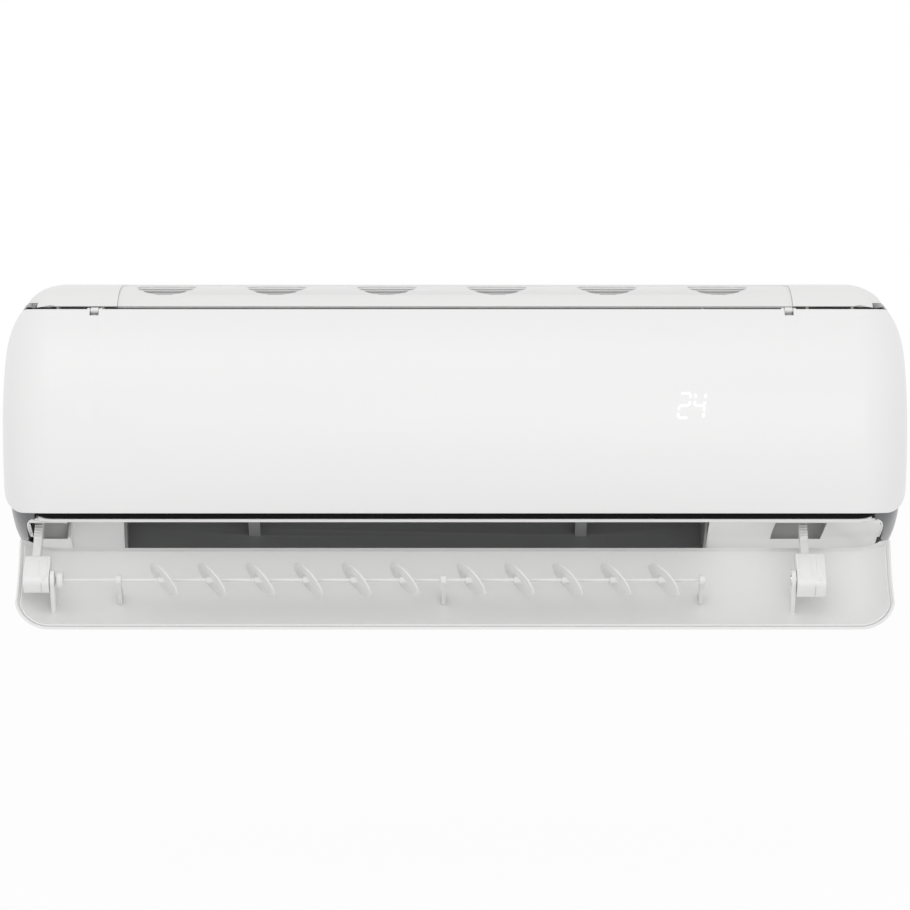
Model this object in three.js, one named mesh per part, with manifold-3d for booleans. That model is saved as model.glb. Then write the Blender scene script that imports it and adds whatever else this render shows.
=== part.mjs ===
// Wall-mounted mini split indoor unit, with its outlet flap pushed out on two rack-driven arms.
// Millimetres, +Z up, +X to the viewer's right, +Y into the wall. The origin is the centre of the
// wall plate's back face. A section is drawn as (depth, height): depth is the distance from the wall.
import * as THREE from "three";
import { mergeVertices } from "three/addons/utils/BufferGeometryUtils.js";
import Module from "manifold-3d";

const wasm = await Module();
wasm.setup();

// ---------------------------------------------------------------- driving dimensions
const HALF_WIDTH = 424; // front panel, half the unit's width
const TOP_Z = 137;
const BOTTOM_Z = -137;
const DEPTH = 183;
const BULGE_Z = 5; // height at which the front stands out furthest

const GAP = 0.3; // clearance between pieces that seat on each other
const SEAM = 1.2; // visible gap round a moving cover
const SKIN = 2.5; // moulded wall

// Places measured from the unit's own faces.
const fromLeft = (distance) => distance - HALF_WIDTH;
const fromRight = (distance) => HALF_WIDTH - distance;
const behindFront = (distance) => DEPTH - distance;
const belowTop = (distance) => TOP_Z - distance;
const aboveBottom = (distance) => BOTTOM_Z + distance;

const END_START = fromRight(50); // the ends start to round off here
const END_CENTRE_Z = -5;
const END_SHRINK_Z = 0.42; // how far the end section shrinks in height
const END_SHRINK_DEPTH = 0.32;

const PANEL_TOP_Z = belowTop(23.4);
const PANEL_TOP_DEPTH = behindFront(46);
const PANEL_BOTTOM_Z = aboveBottom(59.7);
const PANEL_BOTTOM_DEPTH = behindFront(13);
const PANEL_BACK_DEPTH = behindFront(73); // the panel wraps round the sides to here
const PANEL_TOP_CORNER = 14;
const PANEL_BOTTOM_CORNER = 20;
const PANEL_RELIEF = 4.6; // round relief along the panel's hinge line
const CORNER_RELIEF = 32; // and behind the panel's top corners
const HINGE_XS = [fromLeft(87), fromRight(112)];
const HINGE_PIN_RADIUS = 1.5;
const HINGE_BOSS_RADIUS = 2.9;
const HINGE_NOTCH = 4.2; // half the width of the gap for the hinge's ear

const SIDE_INSET = 4; // the casing's ends sit in from the panel's
const CASING_SPLIT_DEPTH = 62; // rear casing ends, front frame and side trims start
const BACK_WALL_DEPTH = 8;
const HOOK_X = 150; // wall plate's hooks, from the middle
const TRIM_TOP_Z = belowTop(19);
const TRIM_INNER_X = fromRight(32);
const LIP_DEPTH = behindFront(104); // front edge of the chassis floor
const FLOOR_Z = aboveBottom(6);

const GRILLE_HALF_WIDTH = fromRight(108);
const GRILLE_BACK_DEPTH = 18;
const GRILLE_SUNK = 1.6; // the grille's face lies this far below the top
const OVAL_COUNT = 6;
const OVAL_PITCH = GRILLE_HALF_WIDTH / 3.027;
const OVAL_CENTRE_X = -12.4;
const OVAL_HALF_WIDTH = 29;
const OVAL_HALF_DEPTH = 37;
const OVAL_DEPTH = 76;
const SLAT_COUNT = 5;

const FACE_INSET = 9.2; // front frame's face behind the panel's outer face
const FACE_SKIN = 2.2;

const FLAP_HALF_WIDTH = fromRight(16);
const FLAP_TOP_Z = aboveBottom(57);
const FLAP_BACK_DEPTH = behindFront(99);
const FLAP_LENGTH = 102; // along its chord
const FLAP_CORNER = 31;
const FLAP_SKIN = 2.2;
const LINER_SKIN = 1.6;
const LINER_SETBACK = 4;

const PIVOT_SHUT = [behindFront(61.3), aboveBottom(53.4)]; // tilt axis with the flap shut
const PIVOT_OPEN = [behindFront(3), aboveBottom(-1.5)]; // and as photographed, with the arms run out
const TILT_DEGREES = 77.7; // the flap's turn between shut and open
const TILT_SHAFT_RADIUS = 4;
const LEFT_ARM_X = fromLeft(34.5);
const RIGHT_ARM_X = fromRight(98.3);
const LEFT_LUG_X = LEFT_ARM_X + 16.7;
const RIGHT_LUG_X = RIGHT_ARM_X - 12.1;
const LUG_THICKNESS = 4;
const ARM_WIDTH = 7.5;
const ARM_HEIGHT = 11;
const ARM_LENGTH = 142; // from the pivot to the arm's inner end
const ARM_NOSE = 6; // arm beyond its pivot

const MODULE = 1.2; // rack and pinion
const PINION_TEETH = 16;
const PINION_WIDTH = 8;
const PINION_BORE_RADIUS = 2;
const PRESSURE_ANGLE = THREE.MathUtils.degToRad(20);
const BACKLASH = 0.3;
const MESH_AT = 132.5; // rack contact, measured back along the arm from the open pivot
const MOTOR_FACE = 8.5; // from the arm's centre to the drive motor's face
const MOTOR_RADIUS = 13.5;
const MOTOR_WIDTH = 17;
const MOTOR_SHAFT_RADIUS = 1.7;

const DUCT_LEFT_X = fromLeft(111);
const DUCT_RIGHT_X = fromRight(187);
const DUCT_WIDTH = DUCT_RIGHT_X - DUCT_LEFT_X;
const DUCT_TONGUE = [behindFront(57), aboveBottom(87)];
const DUCT_UPPER_LIP = [behindFront(31), aboveBottom(57.5)];
const DUCT_LOWER_LIP = [LIP_DEPTH - 1, aboveBottom(10)];
const STRUT_XS = [DUCT_LEFT_X + DUCT_WIDTH * 0.222, DUCT_LEFT_X + DUCT_WIDTH * 0.787];
const STRUT_WIDTH = 11;

const VANE_PITCH = DUCT_WIDTH / 12.33;
const VANE_LEFT_COUNT = 6;
const VANE_RIGHT_COUNT = 5;
const VANE_BEARING_LEFT = DUCT_LEFT_X + 1.3;
const VANE_LEFT_START = VANE_BEARING_LEFT + VANE_PITCH * 0.944;
const VANE_BEARING_CENTRE = VANE_LEFT_START + VANE_PITCH * 5.803;
const VANE_RIGHT_START = VANE_BEARING_CENTRE + VANE_PITCH * 0.578;
const VANE_BEARING_RIGHT = DUCT_RIGHT_X - 8.2;
const VANE_BEARING_WIDTH = 5;
const VANE_RADIUS = 15.6;
const VANE_SLANT = THREE.MathUtils.degToRad(40);
const VANE_PHASE_DEGREES = 38; // direction of the slant at rest, from straight down towards the room
const VANE_THICKNESS = 1.6;
const VANE_SHAFT_RADIUS = 1.6;
const VANE_HUB_RADIUS = 3.2;
const VANE_HUB_WIDTH = 10;
const VANE_KNOB_RADIUS = 7.5;
const VANE_KNOB_WIDTH = 5.4;

const FAN_CENTRE = [DEPTH / 2 - 11.5, aboveBottom(110)];
const FAN_RADIUS = DEPTH / 4 - 0.75;
const FAN_BLADES = 20;
const FAN_SHAFT_RADIUS = 4;
const FAN_LEFT_X = DUCT_LEFT_X + 10;
const FAN_RIGHT_X = DUCT_RIGHT_X - 10;
const FAN_DISC = 4;
const FAN_MOTOR_RADIUS = FAN_RADIUS - 6;
const FAN_MOTOR_WIDTH = 42;

const COIL_LEFT_X = DUCT_LEFT_X + 5;
const COIL_RIGHT_X = DUCT_RIGHT_X - 5;
const COIL_THICKNESS = 20;
const COIL_FIN_PITCH = 30;
const COIL_FIN_SLOT = 6;
const COIL_PLATE = 1.5;
const COIL_TUBE_RADIUS = 3.2;
const TRAY_X = [COIL_LEFT_X, COIL_RIGHT_X + 4];
const DRAIN_HOSE_RADIUS = 6.5;
const GAS_PIPE_RADIUS = 4.76;
const LIQUID_PIPE_RADIUS = 3.18;
const PIPE_WALL_X = [fromRight(94), fromRight(36)]; // hole in the back wall
const PIPE_WALL_Z = [aboveBottom(19), aboveBottom(71)];
const GAS_X = fromRight(76);
const LIQUID_X = fromRight(52);
const HOSE_X = fromRight(64);
const GAS_Z = aboveBottom(53);
const LIQUID_Z = aboveBottom(61);
const HOSE_Z = aboveBottom(31);

const FILTER_SPLIT_X = -2;
const FILTER_THICKNESS = 2.2;
const FILTER_DEPTH = behindFront(21 + FILTER_THICKNESS);
const FILTER_WINDOWS = [[DUCT_LEFT_X + 10, FILTER_SPLIT_X - 8], [FILTER_SPLIT_X + 8, DUCT_RIGHT_X - 5]];
const FILTER_WINDOW_Z = [BULGE_Z - 47, BULGE_Z + 69];
const FILTER_TOP_Z = BULGE_Z + 51;

const BOX_X = [fromRight(84), fromRight(27)];
const BOX_DEPTHS = [24, behindFront(71)];
const BOX_Z = [aboveBottom(107), belowTop(51)];
const BOX_WALL = 2;
const CONTROL_WINDOW_X = [fromRight(162), fromRight(52)];
const CONTROL_WINDOW_Z = [aboveBottom(155), belowTop(45)];
const BUTTON_RADIUS = 4;
const BUTTON_X = fromRight(74);
const BUTTON_Z = aboveBottom(89);
const BUTTON_FACE_DEPTH = behindFront(10.4);
const DISPLAY_X = fromRight(204);
const DISPLAY_Z = BULGE_Z + 17.8;

// ---------------------------------------------------------------- materials
const finish = (color, roughness, metalness = 0) =>
  new THREE.MeshStandardMaterial({ color, roughness, metalness });
const WHITE_GLOSS = finish(0xf2f2f2, 0.3);
const WHITE_SATIN = finish(0xeaeaea, 0.5);
const SILVER = finish(0x8c8f92, 0.3, 0.8);
const DARK_CHROME = finish(0x2b2d30, 0.2, 0.7);
const DARK_PLASTIC = finish(0x4a4b4c, 0.55);
const BLACK_RUBBER = finish(0x1c1c1c, 0.8);
const STEEL = finish(0xa8acb0, 0.4, 0.9);
const ALUMINIUM = finish(0xc4c8cc, 0.45, 0.8);
const COPPER = finish(0xb87348, 0.35, 0.9);
const BRASS = finish(0xc9a24e, 0.35, 0.9);
const BOARD_GREEN = finish(0x1f6b3a, 0.5);
const MESH_GREY = finish(0x9aa0a4, 0.7);

// ---------------------------------------------------------------- solids
const sec = (depth, height) => new THREE.Vector2(-depth, height);
const sorted = (a, b) => [Math.min(a, b), Math.max(a, b)];
const polar = (radius, angle) => new THREE.Vector2(radius * Math.cos(angle), radius * Math.sin(angle));

function manifold(geometry) {
  const bare = geometry.clone();
  bare.deleteAttribute("normal");
  bare.deleteAttribute("uv");
  const merged = mergeVertices(bare, 1e-4);
  const mesh = new wasm.Mesh({
    numProp: 3,
    vertProperties: merged.getAttribute("position").array,
    triVerts: new Uint32Array(merged.index.array),
  });
  return new wasm.Manifold(mesh);
}

function geometryOf(solid) {
  const mesh = solid.getMesh();
  const geometry = new THREE.BufferGeometry();
  geometry.setAttribute("position", new THREE.BufferAttribute(mesh.vertProperties, 3));
  geometry.setIndex(new THREE.BufferAttribute(mesh.triVerts, 1));
  const flat = geometry.toNonIndexed();
  flat.computeVertexNormals();
  return flat;
}

const joined = (first, ...others) => others.reduce((sum, other) => sum.add(other), first);
const cut = (first, ...others) => others.reduce((rest, other) => rest.subtract(other), first);

// A closed outline of points, or a Shape of them, drawn out by a length.
function extruded(outline, depth, curveSegments) {
  const shape = Array.isArray(outline) ? new THREE.Shape(outline) : outline;
  return new THREE.ExtrudeGeometry(shape, { depth, bevelEnabled: false, curveSegments });
}

// A section's outline carried along X.
function prismX(outline, x0, x1) {
  const toSection = new THREE.Matrix4().makeBasis(
    new THREE.Vector3(0, 1, 0), new THREE.Vector3(0, 0, 1), new THREE.Vector3(1, 0, 0));
  return manifold(extruded(outline, x1 - x0, 10).applyMatrix4(toSection).translate(x0, 0, 0));
}

// An outline of (x, z) points, from one depth out to another.
function prismY(outline, depth0, depth1) {
  return manifold(extruded(outline, depth1 - depth0, 6).translate(0, 0, depth0).rotateX(Math.PI / 2));
}

// A plan outline of (x, -depth) points, from one height up to another.
function prismZ(outline, z0, z1) {
  return manifold(extruded(outline, z1 - z0, 7).translate(0, 0, z0));
}

function block(x0, x1, depth0, depth1, z0, z1) {
  const geometry = new THREE.BoxGeometry(x1 - x0, depth1 - depth0, z1 - z0);
  return manifold(geometry.translate((x0 + x1) / 2, -(depth0 + depth1) / 2, (z0 + z1) / 2));
}

function rodX(radius, x0, x1, [depth, z], sides = 20) {
  const geometry = new THREE.CylinderGeometry(radius, radius, x1 - x0, sides);
  return manifold(geometry.rotateZ(Math.PI / 2).translate((x0 + x1) / 2, -depth, z));
}

function rodY(radius, depth0, depth1, x, z, sides = 16) {
  const geometry = new THREE.CylinderGeometry(radius, radius, depth1 - depth0, sides);
  return manifold(geometry.translate(x, -(depth0 + depth1) / 2, z));
}

// A round bar along a smooth curve through (x, depth, z) points.
function tube(points, radius, sides, steps) {
  const path = points.map(([x, depth, z]) => new THREE.Vector3(x, -depth, z));
  const round = new THREE.Shape();
  round.absarc(0, 0, radius, 0, 2 * Math.PI);
  const extrudePath = new THREE.CatmullRomCurve3(path);
  return manifold(new THREE.ExtrudeGeometry(round, { steps, extrudePath, curveSegments: sides }));
}

const root = new THREE.Group();

function add(name, solid, material, parent = root) {
  const mesh = new THREE.Mesh(geometryOf(solid), material.clone());
  mesh.name = name;
  parent.add(mesh);
}

// ---------------------------------------------------------------- the outer form
const bezier = (a, b, c, d, count) =>
  new THREE.CubicBezierCurve(sec(...a), sec(...b), sec(...c), sec(...d)).getPoints(count);

const PANEL_TOP = [PANEL_TOP_DEPTH, PANEL_TOP_Z];
const PANEL_BOTTOM = [PANEL_BOTTOM_DEPTH, PANEL_BOTTOM_Z];

// Curve from the flat top down to the panel's top edge.
function shoulderCurve(count) {
  const start = [behindFront(121), belowTop(1)];
  return bezier(start, [behindFront(85), belowTop(1)], [behindFront(62), belowTop(10)], PANEL_TOP, count);
}

// Side section of the closed unit's skin, from the wall over the top, down the front and back underneath.
function skinProfile() {
  const bulge = [DEPTH, BULGE_Z];
  const upper = bezier(PANEL_TOP, [behindFront(22), PANEL_TOP_Z - 21], [DEPTH, BULGE_Z + 55], bulge, 6);
  const lower = bezier(bulge, [DEPTH, BULGE_Z - 35], [behindFront(5), PANEL_BOTTOM_Z + 21.3],
    PANEL_BOTTOM, 3);
  const flapEnd = [FLAP_BACK_DEPTH, BOTTOM_Z];
  const flap = bezier(PANEL_BOTTOM, [behindFront(23), aboveBottom(31)], [behindFront(53), aboveBottom(5)],
    flapEnd, 5);
  return [sec(-40, TOP_Z), sec(30, TOP_Z), ...shoulderCurve(5), ...upper.slice(1), ...lower.slice(1),
    ...flap.slice(1), sec(-40, BOTTOM_Z)];
}

// Side section of the body behind the panel and the flap.
function bodyProfile() {
  const bulge = [behindFront(12), BULGE_Z];
  const top = [PANEL_TOP_DEPTH - 0.4, PANEL_TOP_Z - 7.6];
  const chin = [behindFront(23), PANEL_BOTTOM_Z - 6.7];
  const front = bezier(top, [behindFront(33), PANEL_TOP_Z - 21.6], [behindFront(12), BULGE_Z + 55],
    bulge, 4);
  const lower = bezier(bulge, [behindFront(12), BULGE_Z - 35], [behindFront(16), PANEL_BOTTOM_Z + 19.3],
    chin, 3);
  const floorEnd = [behindFront(95), aboveBottom(7)];
  const floor = bezier(chin, [behindFront(37), aboveBottom(31)], [behindFront(65), aboveBottom(13)],
    floorEnd, 4);
  return [sec(-40, TOP_Z), sec(30, TOP_Z), ...shoulderCurve(5), ...front, ...lower.slice(1),
    ...floor.slice(1), sec(LIP_DEPTH, FLOOR_Z), sec(-40, FLOOR_Z)];
}

// The same outline moved in by a distance, square to its own edges.
function insetOutline(points, distance) {
  return points.map((point, index) => {
    const before = points[(index + points.length - 1) % points.length];
    const after = points[(index + 1) % points.length];
    const normalA = point.clone().sub(before).normalize();
    const normalB = after.clone().sub(point).normalize();
    const along = normalA.clone().add(normalB).normalize();
    const reach = distance / Math.max(0.5, Math.sqrt((1 + normalA.dot(normalB)) / 2));
    return new THREE.Vector2(point.x - along.y * reach, point.y + along.x * reach);
  });
}

// Closed outline of a strip laid along an open line, to the right of its direction.
function ribbon(points, thickness) {
  const outer = points.map((point, index) => {
    const before = points[Math.max(0, index - 1)];
    const after = points[Math.min(points.length - 1, index + 1)];
    const along = after.clone().sub(before).normalize();
    return new THREE.Vector2(point.x + along.y * thickness, point.y - along.x * thickness);
  });
  return [...points, ...outer.reverse()];
}

// A section carried along X whose ends round off towards a smaller one.
function pillow(profile, inset, halfWidth) {
  const outline = insetOutline(profile, inset);
  const half = halfWidth - inset;
  const turns = [0, 0.45, 0.75, 0.94, 1];
  const stations = turns.map((turn) => {
    const shrink = 1 - Math.sqrt(1 - turn * turn);
    const x = END_START + (half - END_START) * turn;
    return { x, z: 1 - END_SHRINK_Z * shrink, depth: 1 - END_SHRINK_DEPTH * shrink };
  });
  const all = [...stations.map((s) => ({ ...s, x: -s.x })).reverse(), ...stations];
  const positions = all.flatMap((s) => outline.flatMap((p) =>
    [s.x, p.x * s.depth, END_CENTRE_Z + (p.y - END_CENTRE_Z) * s.z]));
  const count = outline.length;
  const index = [];
  for (let station = 0; station < all.length - 1; station++) {
    for (let k = 0; k < count; k++) {
      const a = station * count + k;
      const b = station * count + ((k + 1) % count);
      index.push(a, b, a + count, b, b + count, a + count);
    }
  }
  const last = (all.length - 1) * count;
  for (const [a, b, c] of THREE.ShapeUtils.triangulateShape(outline, [])) {
    index.push(a, c, b, last + a, last + b, last + c);
  }
  const geometry = new THREE.BufferGeometry();
  geometry.setAttribute("position", new THREE.Float32BufferAttribute(positions, 3));
  geometry.setIndex(index);
  return manifold(geometry);
}

const WIDE = HALF_WIDTH + 20; // past the unit's sides
const HIGH = TOP_Z + 63; // past its top and underside
const FAR = DEPTH + 17; // past its front
const skin = (inset) => pillow(skinProfile(), inset, HALF_WIDTH);
const body = (inset) => pillow(bodyProfile(), inset, HALF_WIDTH - SIDE_INSET);
const skinOuter = skin(0);
const bodyShell = body(0).subtract(body(SKIN));
const bodySeat = body(SKIN + GAP);
const flapSeat = skin(FLAP_SKIN + LINER_SKIN + SEAM);
const hingeLine = [PANEL_TOP_DEPTH - 3.2, PANEL_TOP_Z - 2.8];
const RELIEF_TOP = PANEL_TOP_Z - 0.4;
const panelRoom = skin(-1).subtract(skin(SKIN + 0.8))
  .intersect(block(-WIDE, WIDE, PANEL_BACK_DEPTH - SEAM, FAR, PANEL_BOTTOM_Z - SEAM, RELIEF_TOP));
const hingeRelief = rodX(PANEL_RELIEF, -WIDE, WIDE, hingeLine, 16);
const cornerRelief = joined(...[-1, 1].map((end) => {
  const [x0, x1] = sorted(end * fromRight(46), end * WIDE);
  return rodX(CORNER_RELIEF, x0, x1, hingeLine, 24);
})).intersect(block(-WIDE, WIDE, PANEL_BACK_DEPTH - 30, FAR, PANEL_TOP_Z - 53, RELIEF_TOP));

// ---------------------------------------------------------------- casing
function wallPlate() {
  const sheet = 1.5;
  const halfWidth = fromRight(134);
  const halfHeight = 92;
  const hookDepth = BACK_WALL_DEPTH + SKIN + 0.4;
  const windows = [[0.207, 0.448, -40, 40], [0.569, 0.828, -52, 10]];
  let plate = block(-halfWidth, halfWidth, 0, sheet, -halfHeight, halfHeight);
  for (const side of [-1, 1]) {
    for (const [near, far, z0, z1] of windows) {
      const [x0, x1] = sorted(side * near * halfWidth, side * far * halfWidth);
      plate = plate.subtract(block(x0, x1, -1, sheet + 1, z0, z1));
    }
    const screwX = side * halfWidth * 0.707;
    for (const z of [-78, 72]) plate = plate.subtract(rodY(3, -1, sheet + 1, screwX, z, 8));
    const hookX = side * HOOK_X;
    plate = joined(plate,
      block(hookX - 14, hookX + 14, sheet - 0.2, hookDepth + sheet, halfHeight - sheet, halfHeight),
      block(hookX - 14, hookX + 14, hookDepth, hookDepth + sheet, halfHeight - sheet, halfHeight + 10));
  }
  plate = plate.subtract(rodY(3, -1, sheet + 1, 0, 72, 12));
  return plate.add(block(-halfWidth + 40, halfWidth - 40, sheet - 0.2, 3.5, -66, -60));
}

function rearCasing() {
  const belowTrims = block(-TRIM_INNER_X + 1, TRIM_INNER_X - 1, 40, LIP_DEPTH - GAP, -HIGH, FLOOR_Z + 19);
  const back = block(-WIDE, WIDE, 0.5, CASING_SPLIT_DEPTH, -HIGH, HIGH).add(belowTrims);
  const backWall = body(SKIN - 0.5)
    .intersect(block(-WIDE, WIDE, BACK_WALL_DEPTH, BACK_WALL_DEPTH + SKIN, -HIGH, HIGH));
  const pipeHole = block(...PIPE_WALL_X, 0, 20, ...PIPE_WALL_Z);
  const grilleX = GRILLE_HALF_WIDTH + GAP;
  const grilleRoom = block(-grilleX, grilleX, GRILLE_BACK_DEPTH - GAP, 100, belowTop(27), HIGH);
  const hookSlots = [-1, 1].map((side) =>
    block(side * HOOK_X - 18, side * HOOK_X + 18, BACK_WALL_DEPTH - 1, BACK_WALL_DEPTH + 4, 84, 92 + GAP));
  return cut(bodyShell.intersect(back).add(backWall), pipeHole, grilleRoom, ...hookSlots);
}

// White frame behind the panel: top end zones and a curved face with windows for filters and controls.
function frontFrame() {
  const splitFront = CASING_SPLIT_DEPTH + GAP;
  const inner = TRIM_INNER_X - GAP;
  const topZone = bodyShell.intersect(block(-WIDE, WIDE, splitFront, FAR, TRIM_TOP_Z + GAP, HIGH));
  const lowerTop = bodyShell.intersect(block(-inner, inner, splitFront, FAR, belowTop(25), HIGH));
  const grilleX = GRILLE_HALF_WIDTH + GAP;
  const caps = joined(topZone, lowerTop).subtract(block(-grilleX, grilleX, 0, FAR, belowTop(33), HIGH));
  const windows = FILTER_WINDOWS.map(([x0, x1]) => block(x0, x1, PANEL_BACK_DEPTH, FAR, ...FILTER_WINDOW_Z));
  const face = cut(skin(FACE_INSET), skin(FACE_INSET + FACE_SKIN), ...windows,
    block(...CONTROL_WINDOW_X, PANEL_BACK_DEPTH, FAR, ...CONTROL_WINDOW_Z),
    rodY(BUTTON_RADIUS + GAP, PANEL_BACK_DEPTH, FAR, BUTTON_X, BUTTON_Z))
    .intersect(block(-inner, inner, PANEL_BACK_DEPTH, FAR, PANEL_BOTTOM_Z, PANEL_TOP_Z - 5.6));
  const sillZ = FILTER_WINDOW_Z[0] - 5;
  const sills = FILTER_WINDOWS.map(([x0, x1]) =>
    block(x0 + 2, x1 - 2, FILTER_DEPTH, FILTER_DEPTH + 8.6, sillZ, sillZ + 2));
  const ledge = prismX([sec(behindFront(63), PANEL_TOP_Z - 3.6), sec(behindFront(51), PANEL_TOP_Z - 13.6),
    sec(behindFront(52), PANEL_TOP_Z - 16.6), sec(behindFront(65), PANEL_TOP_Z - 7.6)], -inner, inner);
  const ribs = [fromLeft(52), fromLeft(94), fromRight(94), fromRight(52)].map(capRib);
  const frame = cut(joined(face, ...sills, ledge, ...ribs, caps), hingeRelief, panelRoom, cornerRelief);
  return joined(frame, ...HINGE_XS.map(hingeEar));
}

// Rib that stands the face on the cap over it.
function capRib(x) {
  const outline = [sec(behindFront(99), belowTop(-3)), sec(behindFront(52), belowTop(11)),
    sec(behindFront(52), belowTop(38)), sec(behindFront(69), belowTop(38)),
    sec(behindFront(99), belowTop(15))];
  return prismX(outline, x - 1.2, x + 1.2).intersect(body(0.6));
}

// Ear that carries the panel's hinge pin, standing on the ledge.
function hingeEar(x) {
  const [depth, z] = hingeLine;
  const half = HINGE_NOTCH - 2 * GAP;
  const outline = [sec(depth - 3.2, z), sec(depth + 1.8, z), sec(depth - 1.6, z - 12),
    sec(depth - 6, z - 9)];
  const web = prismX(outline, x - half, x + half);
  const eye = rodX(3.3, x - half, x + half, hingeLine, 14);
  return cut(joined(web, eye), rodX(HINGE_PIN_RADIUS + GAP, x - 9, x + 9, hingeLine, 12));
}

// Intake grille: six ovals with a few slanting slats in each.
function topGrille() {
  const half = GRILLE_HALF_WIDTH;
  const zone = block(-half, half, GRILLE_BACK_DEPTH, FAR, belowTop(26), HIGH);
  const sheet = body(GRILLE_SUNK).subtract(body(GRILLE_SUNK + SKIN)).intersect(zone);
  const ovals = [];
  const slats = [];
  for (let i = 0; i < OVAL_COUNT; i++) {
    const x = OVAL_CENTRE_X + (i - (OVAL_COUNT - 1) / 2) * OVAL_PITCH;
    const oval = new THREE.Shape();
    oval.absellipse(x, -OVAL_DEPTH, OVAL_HALF_WIDTH, OVAL_HALF_DEPTH, 0, 2 * Math.PI);
    ovals.push(prismZ(oval, belowTop(37), belowTop(-13)));
    for (let k = 0; k < SLAT_COUNT; k++) {
      slats.push(slat(x, ((2 * k + 1) / SLAT_COUNT - 1) * OVAL_HALF_DEPTH));
    }
  }
  const beam = block(-half, half, 20, 22, belowTop(13), belowTop(3));
  return cut(joined(cut(sheet, ...ovals), ...slats, beam), hingeRelief);
}

// One slat across an oval, this far in front of its centre.
function slat(x, offset) {
  const depth = OVAL_DEPTH + offset;
  const reach = OVAL_HALF_WIDTH * Math.sqrt(1 - (offset / OVAL_HALF_DEPTH) ** 2) + 1.5;
  const top = slatTopAt(depth);
  const outline = [sec(depth - 2.4, top - 7), sec(depth - 0.9, top - 7.4), sec(depth + 2.4, top),
    sec(depth + 0.9, top + 0.4)];
  return prismX(outline, x - reach, x + reach);
}

// Height of a slat's top edge at a given depth, just under the shoulder curve.
function slatTopAt(depth) {
  const curve = shoulderCurve(40);
  const apart = (point) => Math.abs(-point.x - depth);
  const nearest = curve.reduce((best, point) => (apart(point) < apart(best) ? point : best));
  return nearest.y - 3.4;
}

function sideTrim(end) {
  const [x0, x1] = sorted(end * TRIM_INNER_X, end * WIDE);
  const zone = block(x0, x1, CASING_SPLIT_DEPTH + GAP, FAR, -HIGH, TRIM_TOP_Z);
  return cut(bodyShell.intersect(zone), panelRoom, cornerRelief, hingeRelief, outletMouth(), flapRoom());
}

// The outlet's mouth as a rounded opening seen from the front.
function outletMouth() {
  const half = fromRight(23.5);
  return prismY(roundedRect(-half, half, -HIGH, aboveBottom(53), 6), LIP_DEPTH + 5, FAR);
}

// Room that the flap's edges need as it closes.
function flapRoom() {
  const outline = [sec(LIP_DEPTH, aboveBottom(-8)), sec(LIP_DEPTH + 2, aboveBottom(13)),
    sec(LIP_DEPTH + 12, aboveBottom(25)), sec(LIP_DEPTH + 29, aboveBottom(33)),
    sec(LIP_DEPTH + 45, aboveBottom(36)), sec(LIP_DEPTH + 71, aboveBottom(44)),
    sec(LIP_DEPTH + 84, FLAP_TOP_Z - 1.5), sec(FAR, FLAP_TOP_Z + 1), sec(FAR, aboveBottom(-8))];
  return prismX(outline, -FLAP_HALF_WIDTH - SEAM - 0.4, FLAP_HALF_WIDTH + SEAM + 0.4);
}

function roundedRect(x0, x1, z0, z1, radius) {
  const shape = new THREE.Shape();
  shape.moveTo(x0 + radius, z0);
  shape.lineTo(x1 - radius, z0);
  shape.absarc(x1 - radius, z0 + radius, radius, -Math.PI / 2, 0);
  shape.lineTo(x1, z1 - radius);
  shape.absarc(x1 - radius, z1 - radius, radius, 0, Math.PI / 2);
  shape.lineTo(x0 + radius, z1);
  shape.absarc(x0 + radius, z1 - radius, radius, Math.PI / 2, Math.PI);
  shape.lineTo(x0, z0 + radius);
  shape.absarc(x0 + radius, z0 + radius, radius, Math.PI, 1.5 * Math.PI);
  return shape;
}

// ---------------------------------------------------------------- outlet
const scrollBack = FAN_CENTRE[0] - FAN_RADIUS - 11;
const ductScroll = new THREE.CubicBezierCurve(sec(scrollBack, aboveBottom(149)),
  sec(scrollBack - 2, aboveBottom(87)), sec(scrollBack + 24, aboveBottom(41)),
  sec(...DUCT_LOWER_LIP)).getPoints(10);

function airDuct() {
  const [x0, x1] = [DUCT_LEFT_X, DUCT_RIGHT_X];
  const [tongueDepth, tongueZ] = DUCT_TONGUE;
  const [lipDepth, lipZ] = DUCT_UPPER_LIP;
  const rear = prismX(ribbon(ductScroll, SKIN), x0, x1);
  const upper = prismX([sec(tongueDepth, tongueZ), sec(tongueDepth + 2, tongueZ + 2.4),
    sec(lipDepth + 1.4, lipZ + 2), sec(lipDepth, lipZ)], x0, x1);
  const [fanDepth, fanZ] = FAN_CENTRE;
  const belowFan = [sec(fanDepth + 16, fanZ - 51), sec(fanDepth - 20, fanZ - 47)];
  const lowerScroll = ductScroll.slice(5);
  const leftCheek = prismX([...lowerScroll, sec(LIP_DEPTH + 1, aboveBottom(19)),
    sec(LIP_DEPTH + 9, aboveBottom(33)), ...belowFan], x0, x0 + SKIN);
  const rightCheek = prismX([...lowerScroll, sec(lipDepth, lipZ), sec(tongueDepth, tongueZ), ...belowFan],
    x1 - SKIN, x1);
  const strut = [sec(tongueDepth + 4, tongueZ - 3.2), sec(tongueDepth + 2.7, tongueZ - 1.4),
    sec(fanDepth - 20, aboveBottom(35)), sec(fanDepth - 18.6, aboveBottom(33.4))];
  const struts = STRUT_XS.map((x) => prismX(strut, x - STRUT_WIDTH / 2, x + STRUT_WIDTH / 2));
  const wall = BACK_WALL_DEPTH + SKIN + GAP;
  const feet = STRUT_XS.map((x) => block(x - 4, x + 4, wall, scrollBack + 3, -20, -4));
  return joined(rear, upper, leftCheek, rightCheek, ...struts, ...feet);
}

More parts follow.
